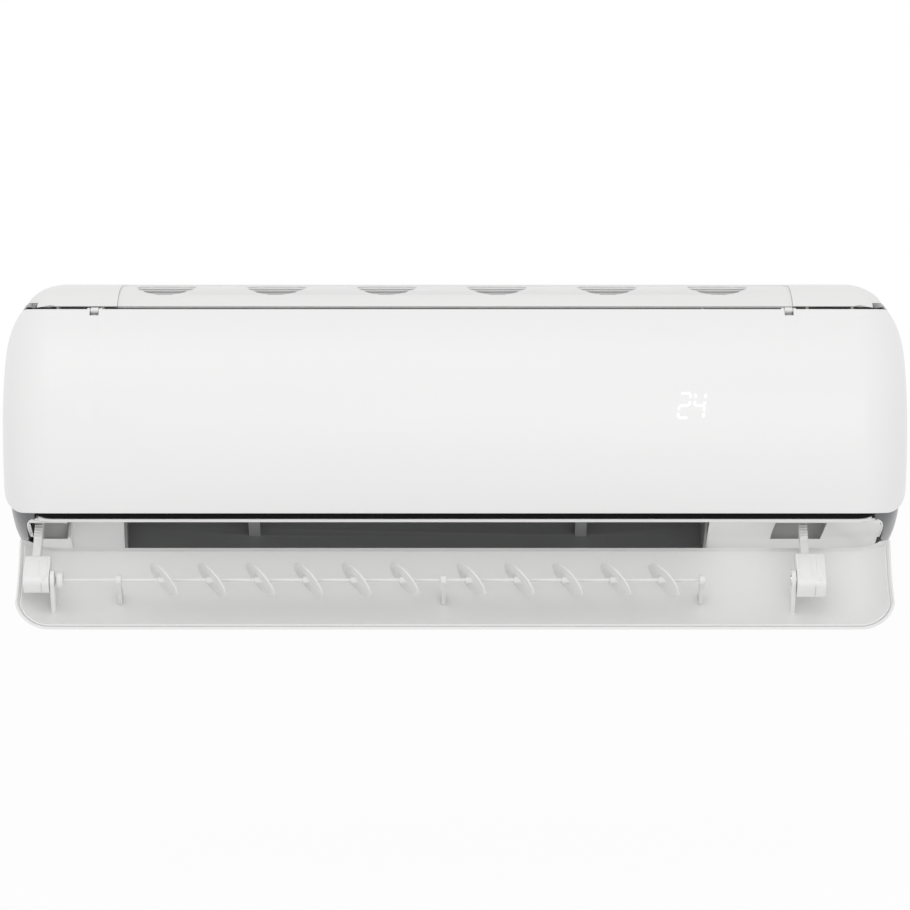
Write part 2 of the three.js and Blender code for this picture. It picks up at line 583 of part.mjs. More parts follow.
// White walls that close the outlet beside the duct. The arm runs in and out through the slot.
const END_LIP = sec(behindFront(28.6), aboveBottom(51.1));
const END_HEEL = sec(LIP_DEPTH + 3, aboveBottom(20));
const END_FOOT = sec(LIP_DEPTH + 1, aboveBottom(15));
const END_THICKNESS = 2;
const END_OUTER_X = fromRight(27);

// Inner line of the pocket behind the knob's end of the outlet.
function pocketLine() {
  const [depth, z] = PIVOT_SHUT;
  return [sec(depth + 28.7, z - 1), sec(depth + 18.3, z + 17.6), sec(depth, z + 22.6),
    sec(depth - 17.7, z + 15.6), sec(depth - 24.7, z - 0.4), sec(depth - 37.7, z - 24.4), END_FOOT];
}

function leftEndPanel() {
  const pocketX = LEFT_LUG_X + 8.8;
  const armZone = prismX(ribbon([END_LIP, END_HEEL, END_FOOT], -END_THICKNESS), -END_OUTER_X, pocketX);
  const pocket = prismX(ribbon(pocketLine(), -END_THICKNESS), pocketX, DUCT_LEFT_X - GAP);
  const inside = pocketLine().slice(1, -1).reverse();
  const divider = prismX([END_LIP, END_HEEL, END_FOOT, ...inside], pocketX - 0.5, pocketX + 2);
  const passage = prismX(pathBand(17), pocketX - 1, pocketX + 3);
  const [slot0, slot1] = [LEFT_ARM_X - 12.5, LEFT_ARM_X + 29.5];
  const plate = joined(cut(armZone, armSlot(slot0, slot1, 0)), pocket, cut(divider, passage));
  const feet = [fromLeft(54), fromLeft(94)].map(endFoot);
  return cut(joined(plate, ...feet).intersect(flapSeat), heelRelief(-1));
}

function rightEndPanel() {
  const line = [END_LIP, END_HEEL, END_FOOT];
  const plate = prismX(ribbon(line, -END_THICKNESS), DUCT_RIGHT_X + GAP, END_OUTER_X);
  const slot = armSlot(RIGHT_ARM_X - 26.7, RIGHT_ARM_X + 21.3, 3);
  const feet = [fromRight(164), fromRight(56)].map(endFoot);
  return cut(joined(cut(plate, slot), ...feet).intersect(flapSeat), heelRelief(1));
}

// Clears the casing's corner at the end panel's outer heel.
function heelRelief(end) {
  const [x0, x1] = sorted(end * fromRight(31.2), end * fromRight(24));
  return block(x0, x1, LIP_DEPTH - 9, LIP_DEPTH + 5, aboveBottom(7), aboveBottom(27));
}

// Small foot that stands an end panel on the casing's floor.
function endFoot(x) {
  return block(x - 4, x + 4, LIP_DEPTH - 4, LIP_DEPTH + 3, aboveBottom(-3), aboveBottom(18))
    .intersect(bodySeat);
}

// Slot in an end panel: its ends slant as seen from the front.
function armSlot(x0, x1, slant) {
  const [z0, z1] = [aboveBottom(33.4), aboveBottom(50)];
  const outline = [new THREE.Vector2(x0 - slant, z0), new THREE.Vector2(x1 - slant, z0),
    new THREE.Vector2(x1, z1), new THREE.Vector2(x0, z1)];
  return prismY(outline, LIP_DEPTH + 5, FAR);
}

// Glossy dark strip under the panel.
function lowerStrip() {
  const z = PANEL_BOTTOM_Z - 0.3;
  const outline = [sec(behindFront(20), z), sec(behindFront(20.6), z - 5), sec(behindFront(24.2), z - 4.7),
    sec(behindFront(26.2), z - 1.4), sec(behindFront(25.6), z)];
  const half = TRIM_INNER_X - 2;
  return prismX(outline, -half, half).intersect(flapSeat);
}

// White bead round the outlet's upper edge, behind the strip.
function outletFrame() {
  const z = FLAP_TOP_Z;
  const outline = [sec(behindFront(21.4), z - 3.1), sec(behindFront(22.8), z - 6),
    sec(behindFront(27.6), z - 4.7), sec(behindFront(30.1), z - 1), sec(behindFront(27), z + 0.5),
    sec(behindFront(24.8), z - 2.9)];
  const half = fromRight(36);
  return prismX(outline, -half, half).intersect(flapSeat);
}

// ---------------------------------------------------------------- front panel
// The panel's outline seen from the front, wider than the unit between its corners.
function panelOutline() {
  const topX = fromRight(9);
  const bottomX = fromRight(2);
  const top = PANEL_TOP_Z - SEAM;
  const bottom = PANEL_BOTTOM_Z;
  const [r1, r0] = [PANEL_TOP_CORNER, PANEL_BOTTOM_CORNER];
  const past = HALF_WIDTH + 2;
  const zone = new THREE.Shape();
  zone.moveTo(-bottomX + r0, bottom);
  zone.lineTo(bottomX - r0, bottom);
  zone.absarc(bottomX - r0, bottom + r0, r0, -Math.PI / 2, 0);
  zone.lineTo(past, BULGE_Z - 35);
  zone.lineTo(past, BULGE_Z + 55);
  zone.lineTo(topX, top - r1);
  zone.absarc(topX - r1, top - r1, r1, 0, Math.PI / 2);
  zone.lineTo(-topX + r1, top);
  zone.absarc(-topX + r1, top - r1, r1, Math.PI / 2, Math.PI);
  zone.lineTo(-past, BULGE_Z + 55);
  zone.lineTo(-past, BULGE_Z - 35);
  zone.lineTo(-bottomX, bottom + r0);
  zone.absarc(-bottomX + r0, bottom + r0, r0, Math.PI, 1.5 * Math.PI);
  return zone;
}

function frontPanel() {
  const sheet = skinOuter.subtract(skin(SKIN)).intersect(prismY(panelOutline(), PANEL_BACK_DEPTH, FAR));
  const notches = HINGE_XS.map((x) =>
    block(x - HINGE_NOTCH, x + HINGE_NOTCH, PANEL_TOP_DEPTH - 37, FAR, PANEL_TOP_Z - 7, HIGH));
  const pins = HINGE_XS.map((x) => rodX(HINGE_PIN_RADIUS, x - 6, x + 6, hingeLine, 12));
  const bosses = HINGE_XS.flatMap((x) => [-1, 1].map((side) => {
    const [x0, x1] = sorted(x + side * HINGE_NOTCH, x + side * 7);
    return rodX(HINGE_BOSS_RADIUS, x0, x1, hingeLine, 12);
  }));
  return joined(cut(sheet, ...notches), ...pins, ...bosses);
}

// ---------------------------------------------------------------- arms, rack and pinion
const armDirection = new THREE.Vector2(PIVOT_OPEN[0] - PIVOT_SHUT[0], PIVOT_OPEN[1] - PIVOT_SHUT[1]);
const ARM_ANGLE = armDirection.angle() - 2 * Math.PI; // below level, towards the room
const PITCH = Math.PI * MODULE;
const PINION_RADIUS = (MODULE * PINION_TEETH) / 2;
const ADDENDUM = 0.9 * MODULE;
const DEDENDUM = 1.25 * MODULE;
const PITCH_LINE = ARM_HEIGHT / 2 - DEDENDUM + 2; // rack's pitch line above the arm's centre line
const RACK_FOOT = PITCH_LINE - DEDENDUM;
const RACK_TEETH = Math.floor((ARM_LENGTH - 46) / PITCH);
const rackTooth = (k) => -ARM_LENGTH + PITCH * (k + 0.6); // centre of tooth k along the arm

// Arm outline in its own frame: u runs out along the arm from the pivot, v to its upper side.
function armOutline() {
  const top = PITCH_LINE + ADDENDUM;
  const half = PITCH / 4 - BACKLASH / 2;
  const atFoot = half + DEDENDUM * Math.tan(PRESSURE_ANGLE);
  const atTop = half - ADDENDUM * Math.tan(PRESSURE_ANGLE);
  const underside = -ARM_HEIGHT / 2;
  const points = [[-ARM_LENGTH, underside], [ARM_NOSE, underside], [ARM_NOSE, RACK_FOOT], [-38, RACK_FOOT]];
  for (let k = RACK_TEETH - 1; k >= 0; k--) {
    const u = rackTooth(k);
    points.push([u + atFoot, RACK_FOOT], [u + atTop, top], [u - atTop, top], [u - atFoot, RACK_FOOT]);
  }
  points.push([-ARM_LENGTH, RACK_FOOT]);
  return points;
}

// From the arm's frame at a pivot to the section.
function alongArm([depth, z], u, v) {
  const cos = Math.cos(ARM_ANGLE);
  const sin = Math.sin(ARM_ANGLE);
  return [depth + u * cos - v * sin, z + u * sin + v * cos];
}

const armPoints = (pivot, points) => points.map(([u, v]) => sec(...alongArm(pivot, u, v)));
const armBox = (pivot, u0, u1, v0, v1) => armPoints(pivot, [[u0, v0], [u1, v0], [u1, v1], [u0, v1]]);

// The band that the tilt axis sweeps between shut and open, this far to each side.
function pathBand(reach) {
  return armBox(PIVOT_SHUT, -reach, armDirection.length() + 10, -reach, reach);
}

function arm(x) {
  const beam = prismX(armPoints(PIVOT_OPEN, armOutline()), x - ARM_WIDTH / 2, x + ARM_WIDTH / 2);
  return cut(beam, rodX(TILT_SHAFT_RADIUS + GAP, x - 10, x + 10, PIVOT_OPEN, 20));
}

// Rounded cover over the arm's outer end, open where the arm comes in.
function driveHousing(x0, x1, armX, [u0, u1], halfHeight) {
  const corner = 6;
  const points = roundedRect(u0, u1, -halfHeight, halfHeight, corner).getPoints(5).map((p) => [p.x, p.y]);
  const solid = prismX(armPoints(PIVOT_OPEN, points.slice(0, -1)), x0, x1);
  const pocketEdge = ARM_WIDTH / 2 + GAP;
  const pocketBox = armBox(PIVOT_OPEN, u0 - 2, ARM_NOSE + GAP, -ARM_HEIGHT / 2 - GAP, RACK_FOOT + GAP);
  const pocket = prismX(pocketBox, armX - pocketEdge, armX + pocketEdge);
  const seamX = armX + ARM_WIDTH / 2 + 3;
  const seam = prismX(armBox(PIVOT_OPEN, u1 - 1, u1 + 2, -halfHeight, halfHeight), seamX, seamX + 0.8);
  const towardsLug = armX < 0 ? [armX, x1 + 1] : [x0 - 1, armX];
  return cut(solid, pocket, seam, rodX(TILT_SHAFT_RADIUS + GAP, ...towardsLug, PIVOT_OPEN, 20));
}

// Gear outline with flanks that follow the involute at the root, pitch and tip circles.
function pinionOutline() {
  const base = PINION_RADIUS * Math.cos(PRESSURE_ANGLE);
  const roll = (radius) => Math.acos(Math.min(1, base / radius));
  const involute = (radius) => Math.tan(roll(radius)) - roll(radius);
  const half = Math.PI / PINION_TEETH / 2 - BACKLASH / 2 / PINION_RADIUS + involute(PINION_RADIUS);
  const widest = Math.PI / PINION_TEETH / 1.35;
  const flank = [PINION_RADIUS - DEDENDUM, PINION_RADIUS, PINION_RADIUS + ADDENDUM]
    .map((radius) => ({ radius, angle: Math.min(half - involute(Math.max(radius, base)), widest) }));
  const points = [];
  for (let tooth = 0; tooth < PINION_TEETH; tooth++) {
    const centre = (tooth * 2 * Math.PI) / PINION_TEETH;
    points.push(...flank.map(({ radius, angle }) => polar(radius, centre - angle)));
    points.push(...flank.toReversed().map(({ radius, angle }) => polar(radius, centre + angle)));
  }
  return points;
}

const pinionCentre = alongArm(PIVOT_OPEN, -MESH_AT, PITCH_LINE + PINION_RADIUS);

// How far the nearest rack tooth lies along the arm from the line of centres.
function rackPhase() {
  const offsets = [...Array(RACK_TEETH).keys()].map((k) => rackTooth(k) + MESH_AT);
  return offsets.reduce((best, offset) => (Math.abs(offset) < Math.abs(best) ? offset : best));
}

function pinion() {
  const gear = prismX(pinionOutline(), -PINION_WIDTH / 2, PINION_WIDTH / 2);
  return cut(gear, rodX(PINION_BORE_RADIUS, -PINION_WIDTH, PINION_WIDTH, [0, 0], 12));
}

// The pinion's place, turned so that a tooth gap faces the rack tooth under it.
function pinionMount(x) {
  const towardsRack = Math.atan2(-Math.cos(ARM_ANGLE), -Math.sin(ARM_ANGLE));
  const halfPitch = Math.PI / PINION_TEETH;
  const mount = new THREE.Group();
  mount.position.set(x, -pinionCentre[0], pinionCentre[1]);
  mount.rotation.x = towardsRack + halfPitch - rackPhase() / PINION_RADIUS;
  root.add(mount);
  return mount;
}

// Channel that the arm slides in, open above for the pinion, on a foot that stands on the chassis floor.
function armGuide(x, motorSide) {
  const clear = 0.4;
  const wall = 2;
  const lower = -ARM_HEIGHT / 2 - clear;
  const half = ARM_WIDTH / 2 + clear;
  const [u0, u1] = [-80, -28];
  const bed = prismX(armBox(PIVOT_SHUT, u0, u1, lower - wall, lower), x - half - wall, x + half + wall);
  const cheeks = [-1, 1].map((side) => {
    const [x0, x1] = sorted(x + side * half, x + side * (half + wall));
    return prismX(armBox(PIVOT_SHUT, u0, u1, lower - 0.5, RACK_FOOT - 1), x0, x1);
  });
  const back = alongArm(PIVOT_SHUT, u0 + 2, lower - 1);
  const front = alongArm(PIVOT_SHUT, u1 - 6, lower - 1);
  const foot = prismX([sec(...back), sec(back[0], FLOOR_Z), sec(front[0] - 24, FLOOR_Z),
    sec(front[0] - 24, front[1] - 16), sec(...front)], x - 1.5, x + 1.5).intersect(bodySeat);
  const plateX = sorted(x + motorSide * (half + 0.5), x + motorSide * (MOTOR_FACE - GAP));
  const web = prismX(armBox(PIVOT_SHUT, -72, -34, lower, PITCH_LINE + 4), ...plateX);
  const disc = rodX(MOTOR_RADIUS + 2, ...plateX, pinionCentre, 24);
  return joined(bed, ...cheeks, foot, cut(joined(disc, web), rodX(3, x - 20, x + 20, pinionCentre, 16)));
}

function armMotor(x, motorSide) {
  const can = sorted(x + motorSide * MOTOR_FACE, x + motorSide * (MOTOR_FACE + MOTOR_WIDTH));
  const shaft = sorted(x - motorSide * PINION_WIDTH / 2, x + motorSide * (MOTOR_FACE + 1));
  return joined(rodX(MOTOR_RADIUS, ...can, pinionCentre, 24),
    rodX(MOTOR_SHAFT_RADIUS, ...shaft, pinionCentre, 12));
}

// ---------------------------------------------------------------- flap, built shut and turned open
const flapGroup = new THREE.Group();
flapGroup.position.set(0, -PIVOT_OPEN[0], PIVOT_OPEN[1]);
flapGroup.rotation.x = THREE.MathUtils.degToRad(TILT_DEGREES);
const flapShut = new THREE.Group();
flapShut.position.set(0, PIVOT_SHUT[0], -PIVOT_SHUT[1]);
flapGroup.add(flapShut);
root.add(flapGroup);

// Outline of the flap looked at square to its chord: round corners at the edge that meets the panel.
function flapZone(shrink) {
  const length = FLAP_LENGTH - shrink;
  const half = FLAP_HALF_WIDTH - shrink;
  const radius = FLAP_CORNER - shrink;
  const zone = new THREE.Shape();
  zone.moveTo(-half + radius, shrink);
  zone.lineTo(half - radius, shrink);
  zone.absarc(half - radius, shrink + radius, radius, -Math.PI / 2, 0);
  zone.lineTo(half - 2, length);
  zone.lineTo(-half + 2, length);
  zone.lineTo(-half, shrink + radius);
  zone.absarc(-half + radius, shrink + radius, radius, Math.PI, 1.5 * Math.PI);
  const chordStart = new THREE.Vector3(0, -behindFront(15), FLAP_TOP_Z);
  const chordEnd = new THREE.Vector3(0, -FLAP_BACK_DEPTH, aboveBottom(3));
  const along = chordEnd.sub(chordStart).normalize();
  const across = new THREE.Vector3(1, 0, 0);
  const out = across.clone().cross(along);
  const place = new THREE.Matrix4().makeBasis(across, along, out);
  place.setPosition(chordStart.addScaledVector(out, -60));
  return manifold(extruded(zone, 120, 8).applyMatrix4(place));
}

function flapPanel() {
  return skinOuter.subtract(skin(FLAP_SKIN)).intersect(flapZone(0))
    .intersect(block(-WIDE, WIDE, FLAP_BACK_DEPTH - 6, FAR, -HIGH, FLAP_TOP_Z));
}

// Lug on the flap's inner side that carries a tilt shaft.
function lug(x) {
  const [depth, z] = PIVOT_SHUT;
  const half = LUG_THICKNESS / 2;
  const outline = [sec(depth - 9, z + 6), sec(depth - 6, z + 9), sec(depth + 3, z + 9),
    sec(depth + 8, z + 4), sec(depth + 36, z - 26), sec(depth + 12, z - 48), sec(depth - 10, z - 6)];
  const plate = prismX(outline, x - half, x + half).intersect(skin(FLAP_SKIN + GAP + 0.4));
  return cut(plate, rodX(TILT_SHAFT_RADIUS + GAP, x - 5, x + 5, PIVOT_SHUT));
}

function flapLiner() {
  const outer = FLAP_SKIN + GAP;
  const shell = skin(outer).subtract(skin(outer + LINER_SKIN)).intersect(flapZone(LINER_SETBACK))
    .intersect(block(-WIDE, WIDE, FLAP_BACK_DEPTH, FAR, -HIGH, FLAP_TOP_Z - 3));
  return joined(shell, lug(LEFT_LUG_X), lug(RIGHT_LUG_X));
}

// Post on the flap's liner with an eye for the vanes' shaft.
function vaneBearing(x) {
  const [depth, z] = PIVOT_SHUT;
  const half = VANE_BEARING_WIDTH / 2;
  const eye = rodX(4.5, x - half, x + half, PIVOT_SHUT, 18);
  const outline = [sec(depth - 3, z), sec(depth + 3, z + 1), sec(depth + 22, z - 30),
    sec(depth + 10, z - 38)];
  const bore = rodX(VANE_SHAFT_RADIUS + 0.25, x - 5, x + 5, PIVOT_SHUT, 16);
  const post = prismX(outline, x - half + 0.5, x + half - 0.5);
  const seat = skin(FLAP_SKIN + LINER_SKIN + 2 * GAP);
  return cut(joined(eye, post).intersect(seat), bore);
}

// One slanted oval vane about an axis along X; its slant points straight down.
function vaneDisc(x) {
  const width = VANE_THICKNESS / Math.cos(VANE_SLANT);
  const disc = new THREE.CylinderGeometry(VANE_RADIUS, VANE_RADIUS, width, 18);
  disc.rotateZ(Math.PI / 2);
  const slope = new THREE.Matrix4().makeShear(0, 0, 0, 0, -Math.tan(VANE_SLANT), 0);
  return manifold(disc.applyMatrix4(slope).translate(x, 0, 0));
}

// Moulded shaft with its row of vanes.
function vaneRod(x0, x1, firstVane, count) {
  const vaneXs = [...Array(count).keys()].map((k) => firstVane + k * VANE_PITCH);
  const half = VANE_HUB_WIDTH / 2;
  const hubs = vaneXs.map((x) => rodX(VANE_HUB_RADIUS, x - half, x + half, [0, 0], 8));
  return joined(rodX(VANE_SHAFT_RADIUS, x0, x1, [0, 0], 8), ...hubs, ...vaneXs.map(vaneDisc));
}

// Thumb knob on the vanes' shaft, beside the left lug.
function vaneKnob() {
  const x0 = LEFT_LUG_X + LUG_THICKNESS / 2 + 2.4;
  return rodX(VANE_KNOB_RADIUS, x0, x0 + VANE_KNOB_WIDTH, [0, 0], 18);
}

// ---------------------------------------------------------------- fan and its drive
// Cross-flow fan: two end discs, a ring half way and a cage of curved blades.
function fanRotor() {
  const [x0, x1] = [FAN_LEFT_X, FAN_RIGHT_X];
  const middle = (x0 + x1 - FAN_DISC) / 2;
  const discs = [x0, x1 - FAN_DISC].map((x) => rodX(FAN_RADIUS, x, x + FAN_DISC, FAN_CENTRE, 24));
  const ring = cut(rodX(FAN_RADIUS, middle, middle + FAN_DISC, FAN_CENTRE, 24),
    rodX(FAN_RADIUS - 13, middle - 1, middle + FAN_DISC + 1, FAN_CENTRE, 16));
  const blades = [...Array(FAN_BLADES).keys()].map((i) => {
    const at = (radius, turn) => {
      const angle = (i * 2 * Math.PI) / FAN_BLADES + turn;
      return sec(FAN_CENTRE[0] + radius * Math.cos(angle), FAN_CENTRE[1] + radius * Math.sin(angle));
    };
    const outline = [at(FAN_RADIUS - 10.5, 0), at(FAN_RADIUS - 1.2, 0.14), at(FAN_RADIUS - 1.8, 0.2),
      at(FAN_RADIUS - 10.8, 0.06)];
    return prismX(outline, x0 + 2, x1 - 2);
  });
  const bore = FAN_SHAFT_RADIUS + GAP;
  return cut(joined(ring, ...discs, ...blades), rodX(bore, x0 - 5, x0 + 6, FAN_CENTRE, 16),
    rodX(bore, x1 - 6, x1 + 5, FAN_CENTRE, 16));
}

function bearingHolder() {
  const x0 = DUCT_LEFT_X - 16;
  const [depth, z] = FAN_CENTRE;
  const foot = BACK_WALL_DEPTH + SKIN + 0.5;
  const plate = prismX([sec(foot, z + 7), sec(foot, z - 7), sec(depth - 16, z - 19), sec(depth + 18, z - 19),
    sec(depth + 18, z + 19), sec(depth - 16, z + 19)], x0, x0 + 3);
  const cup = rodX(19, x0, x0 + 11, FAN_CENTRE, 24);
  return cut(joined(plate, cup), rodX(15, x0 - 1, x0 + 12, FAN_CENTRE, 24));
}

function fanBearing() {
  const [x0, x1] = [DUCT_LEFT_X - 15, DUCT_LEFT_X - 6];
  const bore = rodX(FAN_SHAFT_RADIUS + 0.1, x0 - 1, x1 + 1, FAN_CENTRE, 16);
  return cut(rodX(15 - GAP, x0, x1, FAN_CENTRE, 24), bore);
}

function fanMotor() {
  const x0 = DUCT_RIGHT_X + 12;
  const can = rodX(FAN_MOTOR_RADIUS, x0, x0 + FAN_MOTOR_WIDTH, FAN_CENTRE, 32);
  const boss = rodX(14, x0 - 5, x0 + FAN_MOTOR_WIDTH + 4, FAN_CENTRE, 20);
  return cut(joined(can, boss), rodX(FAN_SHAFT_RADIUS + GAP, x0 - 8, x0 + 20, FAN_CENTRE, 16));
}

function motorBracket() {
  const x0 = DUCT_RIGHT_X + 20;
  const width = 16;
  const [depth, z] = FAN_CENTRE;
  const near = depth - FAN_MOTOR_RADIUS + 1;
  const band = rodX(FAN_MOTOR_RADIUS + 3, x0, x0 + width, FAN_CENTRE, 32);
  const foot = block(x0, x0 + width, BACK_WALL_DEPTH + SKIN + GAP, near, z - 33, z + 33);
  return cut(joined(band, foot), rodX(FAN_MOTOR_RADIUS + GAP, x0 - 1, x0 + width + 1, FAN_CENTRE, 32));
}

// ---------------------------------------------------------------- coil, tray and pipes
const COIL_SLABS = {
  front: [[behindFront(37), aboveBottom(83.6)], [behindFront(37), belowTop(93)]],
  top: [[behindFront(39), belowTop(84)], [behindFront(81), belowTop(39)]],
  rear: [[behindFront(101), belowTop(39)], [behindFront(143), belowTop(84)]],
};

// A finned slab: a comb outline seen along the slab's length, carried from one end to the other.
function coilSlab([from, to]) {
  const start = new THREE.Vector3(0, -from[0], from[1]);
  const run = new THREE.Vector3(0, -to[0], to[1]).sub(start);
  const count = Math.floor((COIL_RIGHT_X - COIL_LEFT_X) / COIL_FIN_PITCH);
  const root = 5;
  const points = [[COIL_LEFT_X, 0], [COIL_RIGHT_X, 0], [COIL_RIGHT_X, COIL_THICKNESS]];
  for (let i = count - 1; i > 0; i--) {
    const left = COIL_LEFT_X + i * COIL_FIN_PITCH - COIL_FIN_SLOT / 2;
    const right = left + COIL_FIN_SLOT;
    points.push([right, COIL_THICKNESS], [right, root], [left, root], [left, COIL_THICKNESS]);
  }
  points.push([COIL_LEFT_X, COIL_THICKNESS]);
  const outline = points.map(([x, y]) => new THREE.Vector2(x, y));
  const along = run.clone().normalize();
  const across = new THREE.Vector3(1, 0, 0);
  const thick = along.clone().cross(across);
  const place = new THREE.Matrix4().makeBasis(across, thick, along);
  place.setPosition(start.addScaledVector(thick, -COIL_THICKNESS / 2));
  return manifold(extruded(outline, run.length(), 1).applyMatrix4(place));
}

// End plate behind the slabs, with the copper return bends that stand out from it.
function coilEndPlate(x0, bendSide) {
  const outline = [sec(behindFront(50), aboveBottom(95)), sec(behindFront(24), aboveBottom(95)),
    sec(behindFront(24), belowTop(87)), sec(behindFront(83), belowTop(23)),
    sec(behindFront(97), belowTop(23)), sec(behindFront(153), belowTop(81)),
    sec(behindFront(139), belowTop(93)), sec(behindFront(92), belowTop(47)),
    sec(behindFront(50), belowTop(93))];
  const bends = [[[37, 167], [37, 147]], [[37, 129], [37, 107]], [[45, 79], [61, 61]], [[71, 51], [85, 35]],
    [[103, 41], [119, 59]], [[127, 67], [137, 79]]];
  const tubes = bends.map((ends) => {
    const [a, b] = ends.map(([back, down]) => [behindFront(back), belowTop(down)]);
    return returnBend(x0, bendSide, a, b);
  });
  return joined(prismX(outline, x0, x0 + COIL_PLATE), ...tubes);
}

function returnBend(x0, side, a, b) {
  const between = (share) => [a[0] + (b[0] - a[0]) * share, a[1] + (b[1] - a[1]) * share];
  const near = x0 + (side > 0 ? COIL_PLATE - 0.4 : 0.4);
  const points = [[near, ...a], [x0 + side * 8.5, ...between(0.125)], [x0 + side * 11, ...between(0.5)],
    [x0 + side * 8.5, ...between(0.875)], [near, ...b]];
  return tube(points, COIL_TUBE_RADIUS, 3, 5);
}

// Channel under the front slab that catches the water.
function drainTray() {
  const wall = 2;
  const outline = [sec(behindFront(52.6), aboveBottom(94)), sec(behindFront(52.6 - wall), aboveBottom(94)),
    sec(behindFront(50.2), aboveBottom(86.8)), sec(behindFront(35.4), aboveBottom(70)),
    sec(behindFront(27.4), aboveBottom(75.5)), sec(behindFront(25.6), aboveBottom(94)),
    sec(behindFront(25.6 - wall), aboveBottom(94)), sec(behindFront(25.4), aboveBottom(74.5)),
    sec(behindFront(35.6), aboveBottom(67.2)), sec(behindFront(52.2), aboveBottom(86.7))];
  return prismX(outline, ...TRAY_X);
}

// Centre line of a pipe from the coil or tray to its exit through the back wall. Between the two, each
// point is (x, share of the unit's depth, height above its underside).
function pipeLine(start, between, [x, z], exitDepths) {
  const middle = between.map(([px, share, height]) => [px, DEPTH * share, aboveBottom(height)]);
  return [...start, ...middle, ...exitDepths.map((depth) => [x, depth, z])];
}

function drainHose() {
  const x0 = TRAY_X[1];
  const start = [[x0 + 2.4, behindFront(36), aboveBottom(81)], [x0 + 8, behindFront(37), aboveBottom(79)]];
  const between = [[x0 + 22, 0.765, 70], [x0 + 44, 0.6, 45], [HOSE_X - 60, 0.38, 33],
    [HOSE_X - 42, 0.24, 29], [HOSE_X - 20, 0.164, 29]];
  const line = pipeLine(start, between, [HOSE_X, HOSE_Z], [16, 2]);
  const bore = [[x0 - 6, behindFront(36), aboveBottom(83)], ...line, [HOSE_X, -6, HOSE_Z]];
  return cut(tube(line, DRAIN_HOSE_RADIUS, 4, 16), tube(bore, DRAIN_HOSE_RADIUS - 1.5, 4, 18));
}

function gasPipe() {
  const x0 = COIL_RIGHT_X;
  const start = [[x0 + 3.4, behindFront(44.8), aboveBottom(102.5)],
    [x0 + 10, behindFront(45), aboveBottom(101)]];
  const between = [[x0 + 18, 0.743, 93], [x0 + 36, 0.667, 71], [GAS_X - 56, 0.459, 55],
    [GAS_X - 30, 0.23, 53], [GAS_X - 8, 0.164, 53]];
  return tube(pipeLine(start, between, [GAS_X, GAS_Z], [20, 11, 2]), GAS_PIPE_RADIUS, 4, 18);
}

function liquidPipe() {
  const x0 = COIL_RIGHT_X;
  const start = [[x0 + 3.8, behindFront(29), aboveBottom(137)],
    [x0 + 9, behindFront(29.2), aboveBottom(135)], [x0 + 16, behindFront(31), aboveBottom(123)]];
  const between = [[x0 + 36, 0.743, 93], [LIQUID_X - 82, 0.557, 67], [LIQUID_X - 56, 0.251, 69],
    [LIQUID_X - 28, 0.18, 64], [LIQUID_X - 6, 0.142, 61]];
  return tube(pipeLine(start, between, [LIQUID_X, LIQUID_Z], [17, 10, 2]), LIQUID_PIPE_RADIUS, 4, 18);
}

function flareNut(x, z, radius) {
  const hex = new THREE.CylinderGeometry(radius * 1.9, radius * 1.9, 10, 6);
  return cut(manifold(hex.translate(x, -7, z)), rodY(radius + 2 * GAP, -10, 40, x, z, 14));
}

// ---------------------------------------------------------------- filters, box and controls
// Framed gauze in two rows of four cells, with a grip at its lower edge.
function filter([window0, window1]) {
  const [x0, x1] = [window0 + 4.5, window1 - 4.5];
  const [z0, z1] = [FILTER_WINDOW_Z[0] - 3 + GAP, FILTER_TOP_Z];
  const back = FILTER_DEPTH;
  const columns = 4;
  const rows = 2;
  const border = 5;
  const rib = 2;
  const cellX = (x1 - x0 - 2 * border + rib) / columns;
  const cellZ = (z1 - z0 - 2 * border + rib) / rows;
  const cells = [];
  for (let i = 0; i < columns; i++) {
    for (let k = 0; k < rows; k++) {
      const x = x0 + border + i * cellX;
      const z = z0 + border + k * cellZ;
      cells.push(block(x, x + cellX - rib, back - 1, back + FILTER_THICKNESS + 1, z, z + cellZ - rib));
    }
  }
  const frame = cut(block(x0, x1, back, back + FILTER_THICKNESS, z0, z1), ...cells);
  const gauze = block(x0 + 2, x1 - 2, back + 0.8, back + 1.2, z0 + 2, z1 - 2);
  const middle = (x0 + x1) / 2;
  const grip = block(middle - 14, middle + 14, back + FILTER_THICKNESS - 0.4, back + 5, z0 + 6, z0 + 8);
  return joined(frame, gauze, grip);
}

function electricBox() {
  const [x0, x1] = BOX_X;
  const [back, front] = BOX_DEPTHS;
  const [z0, z1] = BOX_Z;
  const wall = BOX_WALL;
  const hollow = block(x0 + wall, x1 - wall, back + wall, front + 5, z0 + wall, z1 - wall);
  const foot = block(x0 + 20, x1 - 17, BACK_WALL_DEPTH + SKIN + GAP, back + 1, z0 + 50, z0 + 90);
  return joined(block(...BOX_X, ...BOX_DEPTHS, ...BOX_Z).subtract(hollow), foot);
}

function boxCover() {
  const front = BOX_DEPTHS[1] + GAP;
  const [x0, x1] = BOX_X;
  const handle = block(x0 + 12, x1 - 12, front + BOX_WALL - 0.2, front + 4, BOX_Z[0] + 50, BOX_Z[0] + 66);
  return block(...BOX_X, front, front + BOX_WALL, ...BOX_Z).add(handle);
}

function circuitBoard() {
  const x0 = BOX_X[0] + BOX_WALL + GAP;
  return block(x0, x0 + 1.7, BOX_DEPTHS[0] + 6, BOX_DEPTHS[1] - 6, BOX_Z[0] + 6, BOX_Z[1] - 6);
}

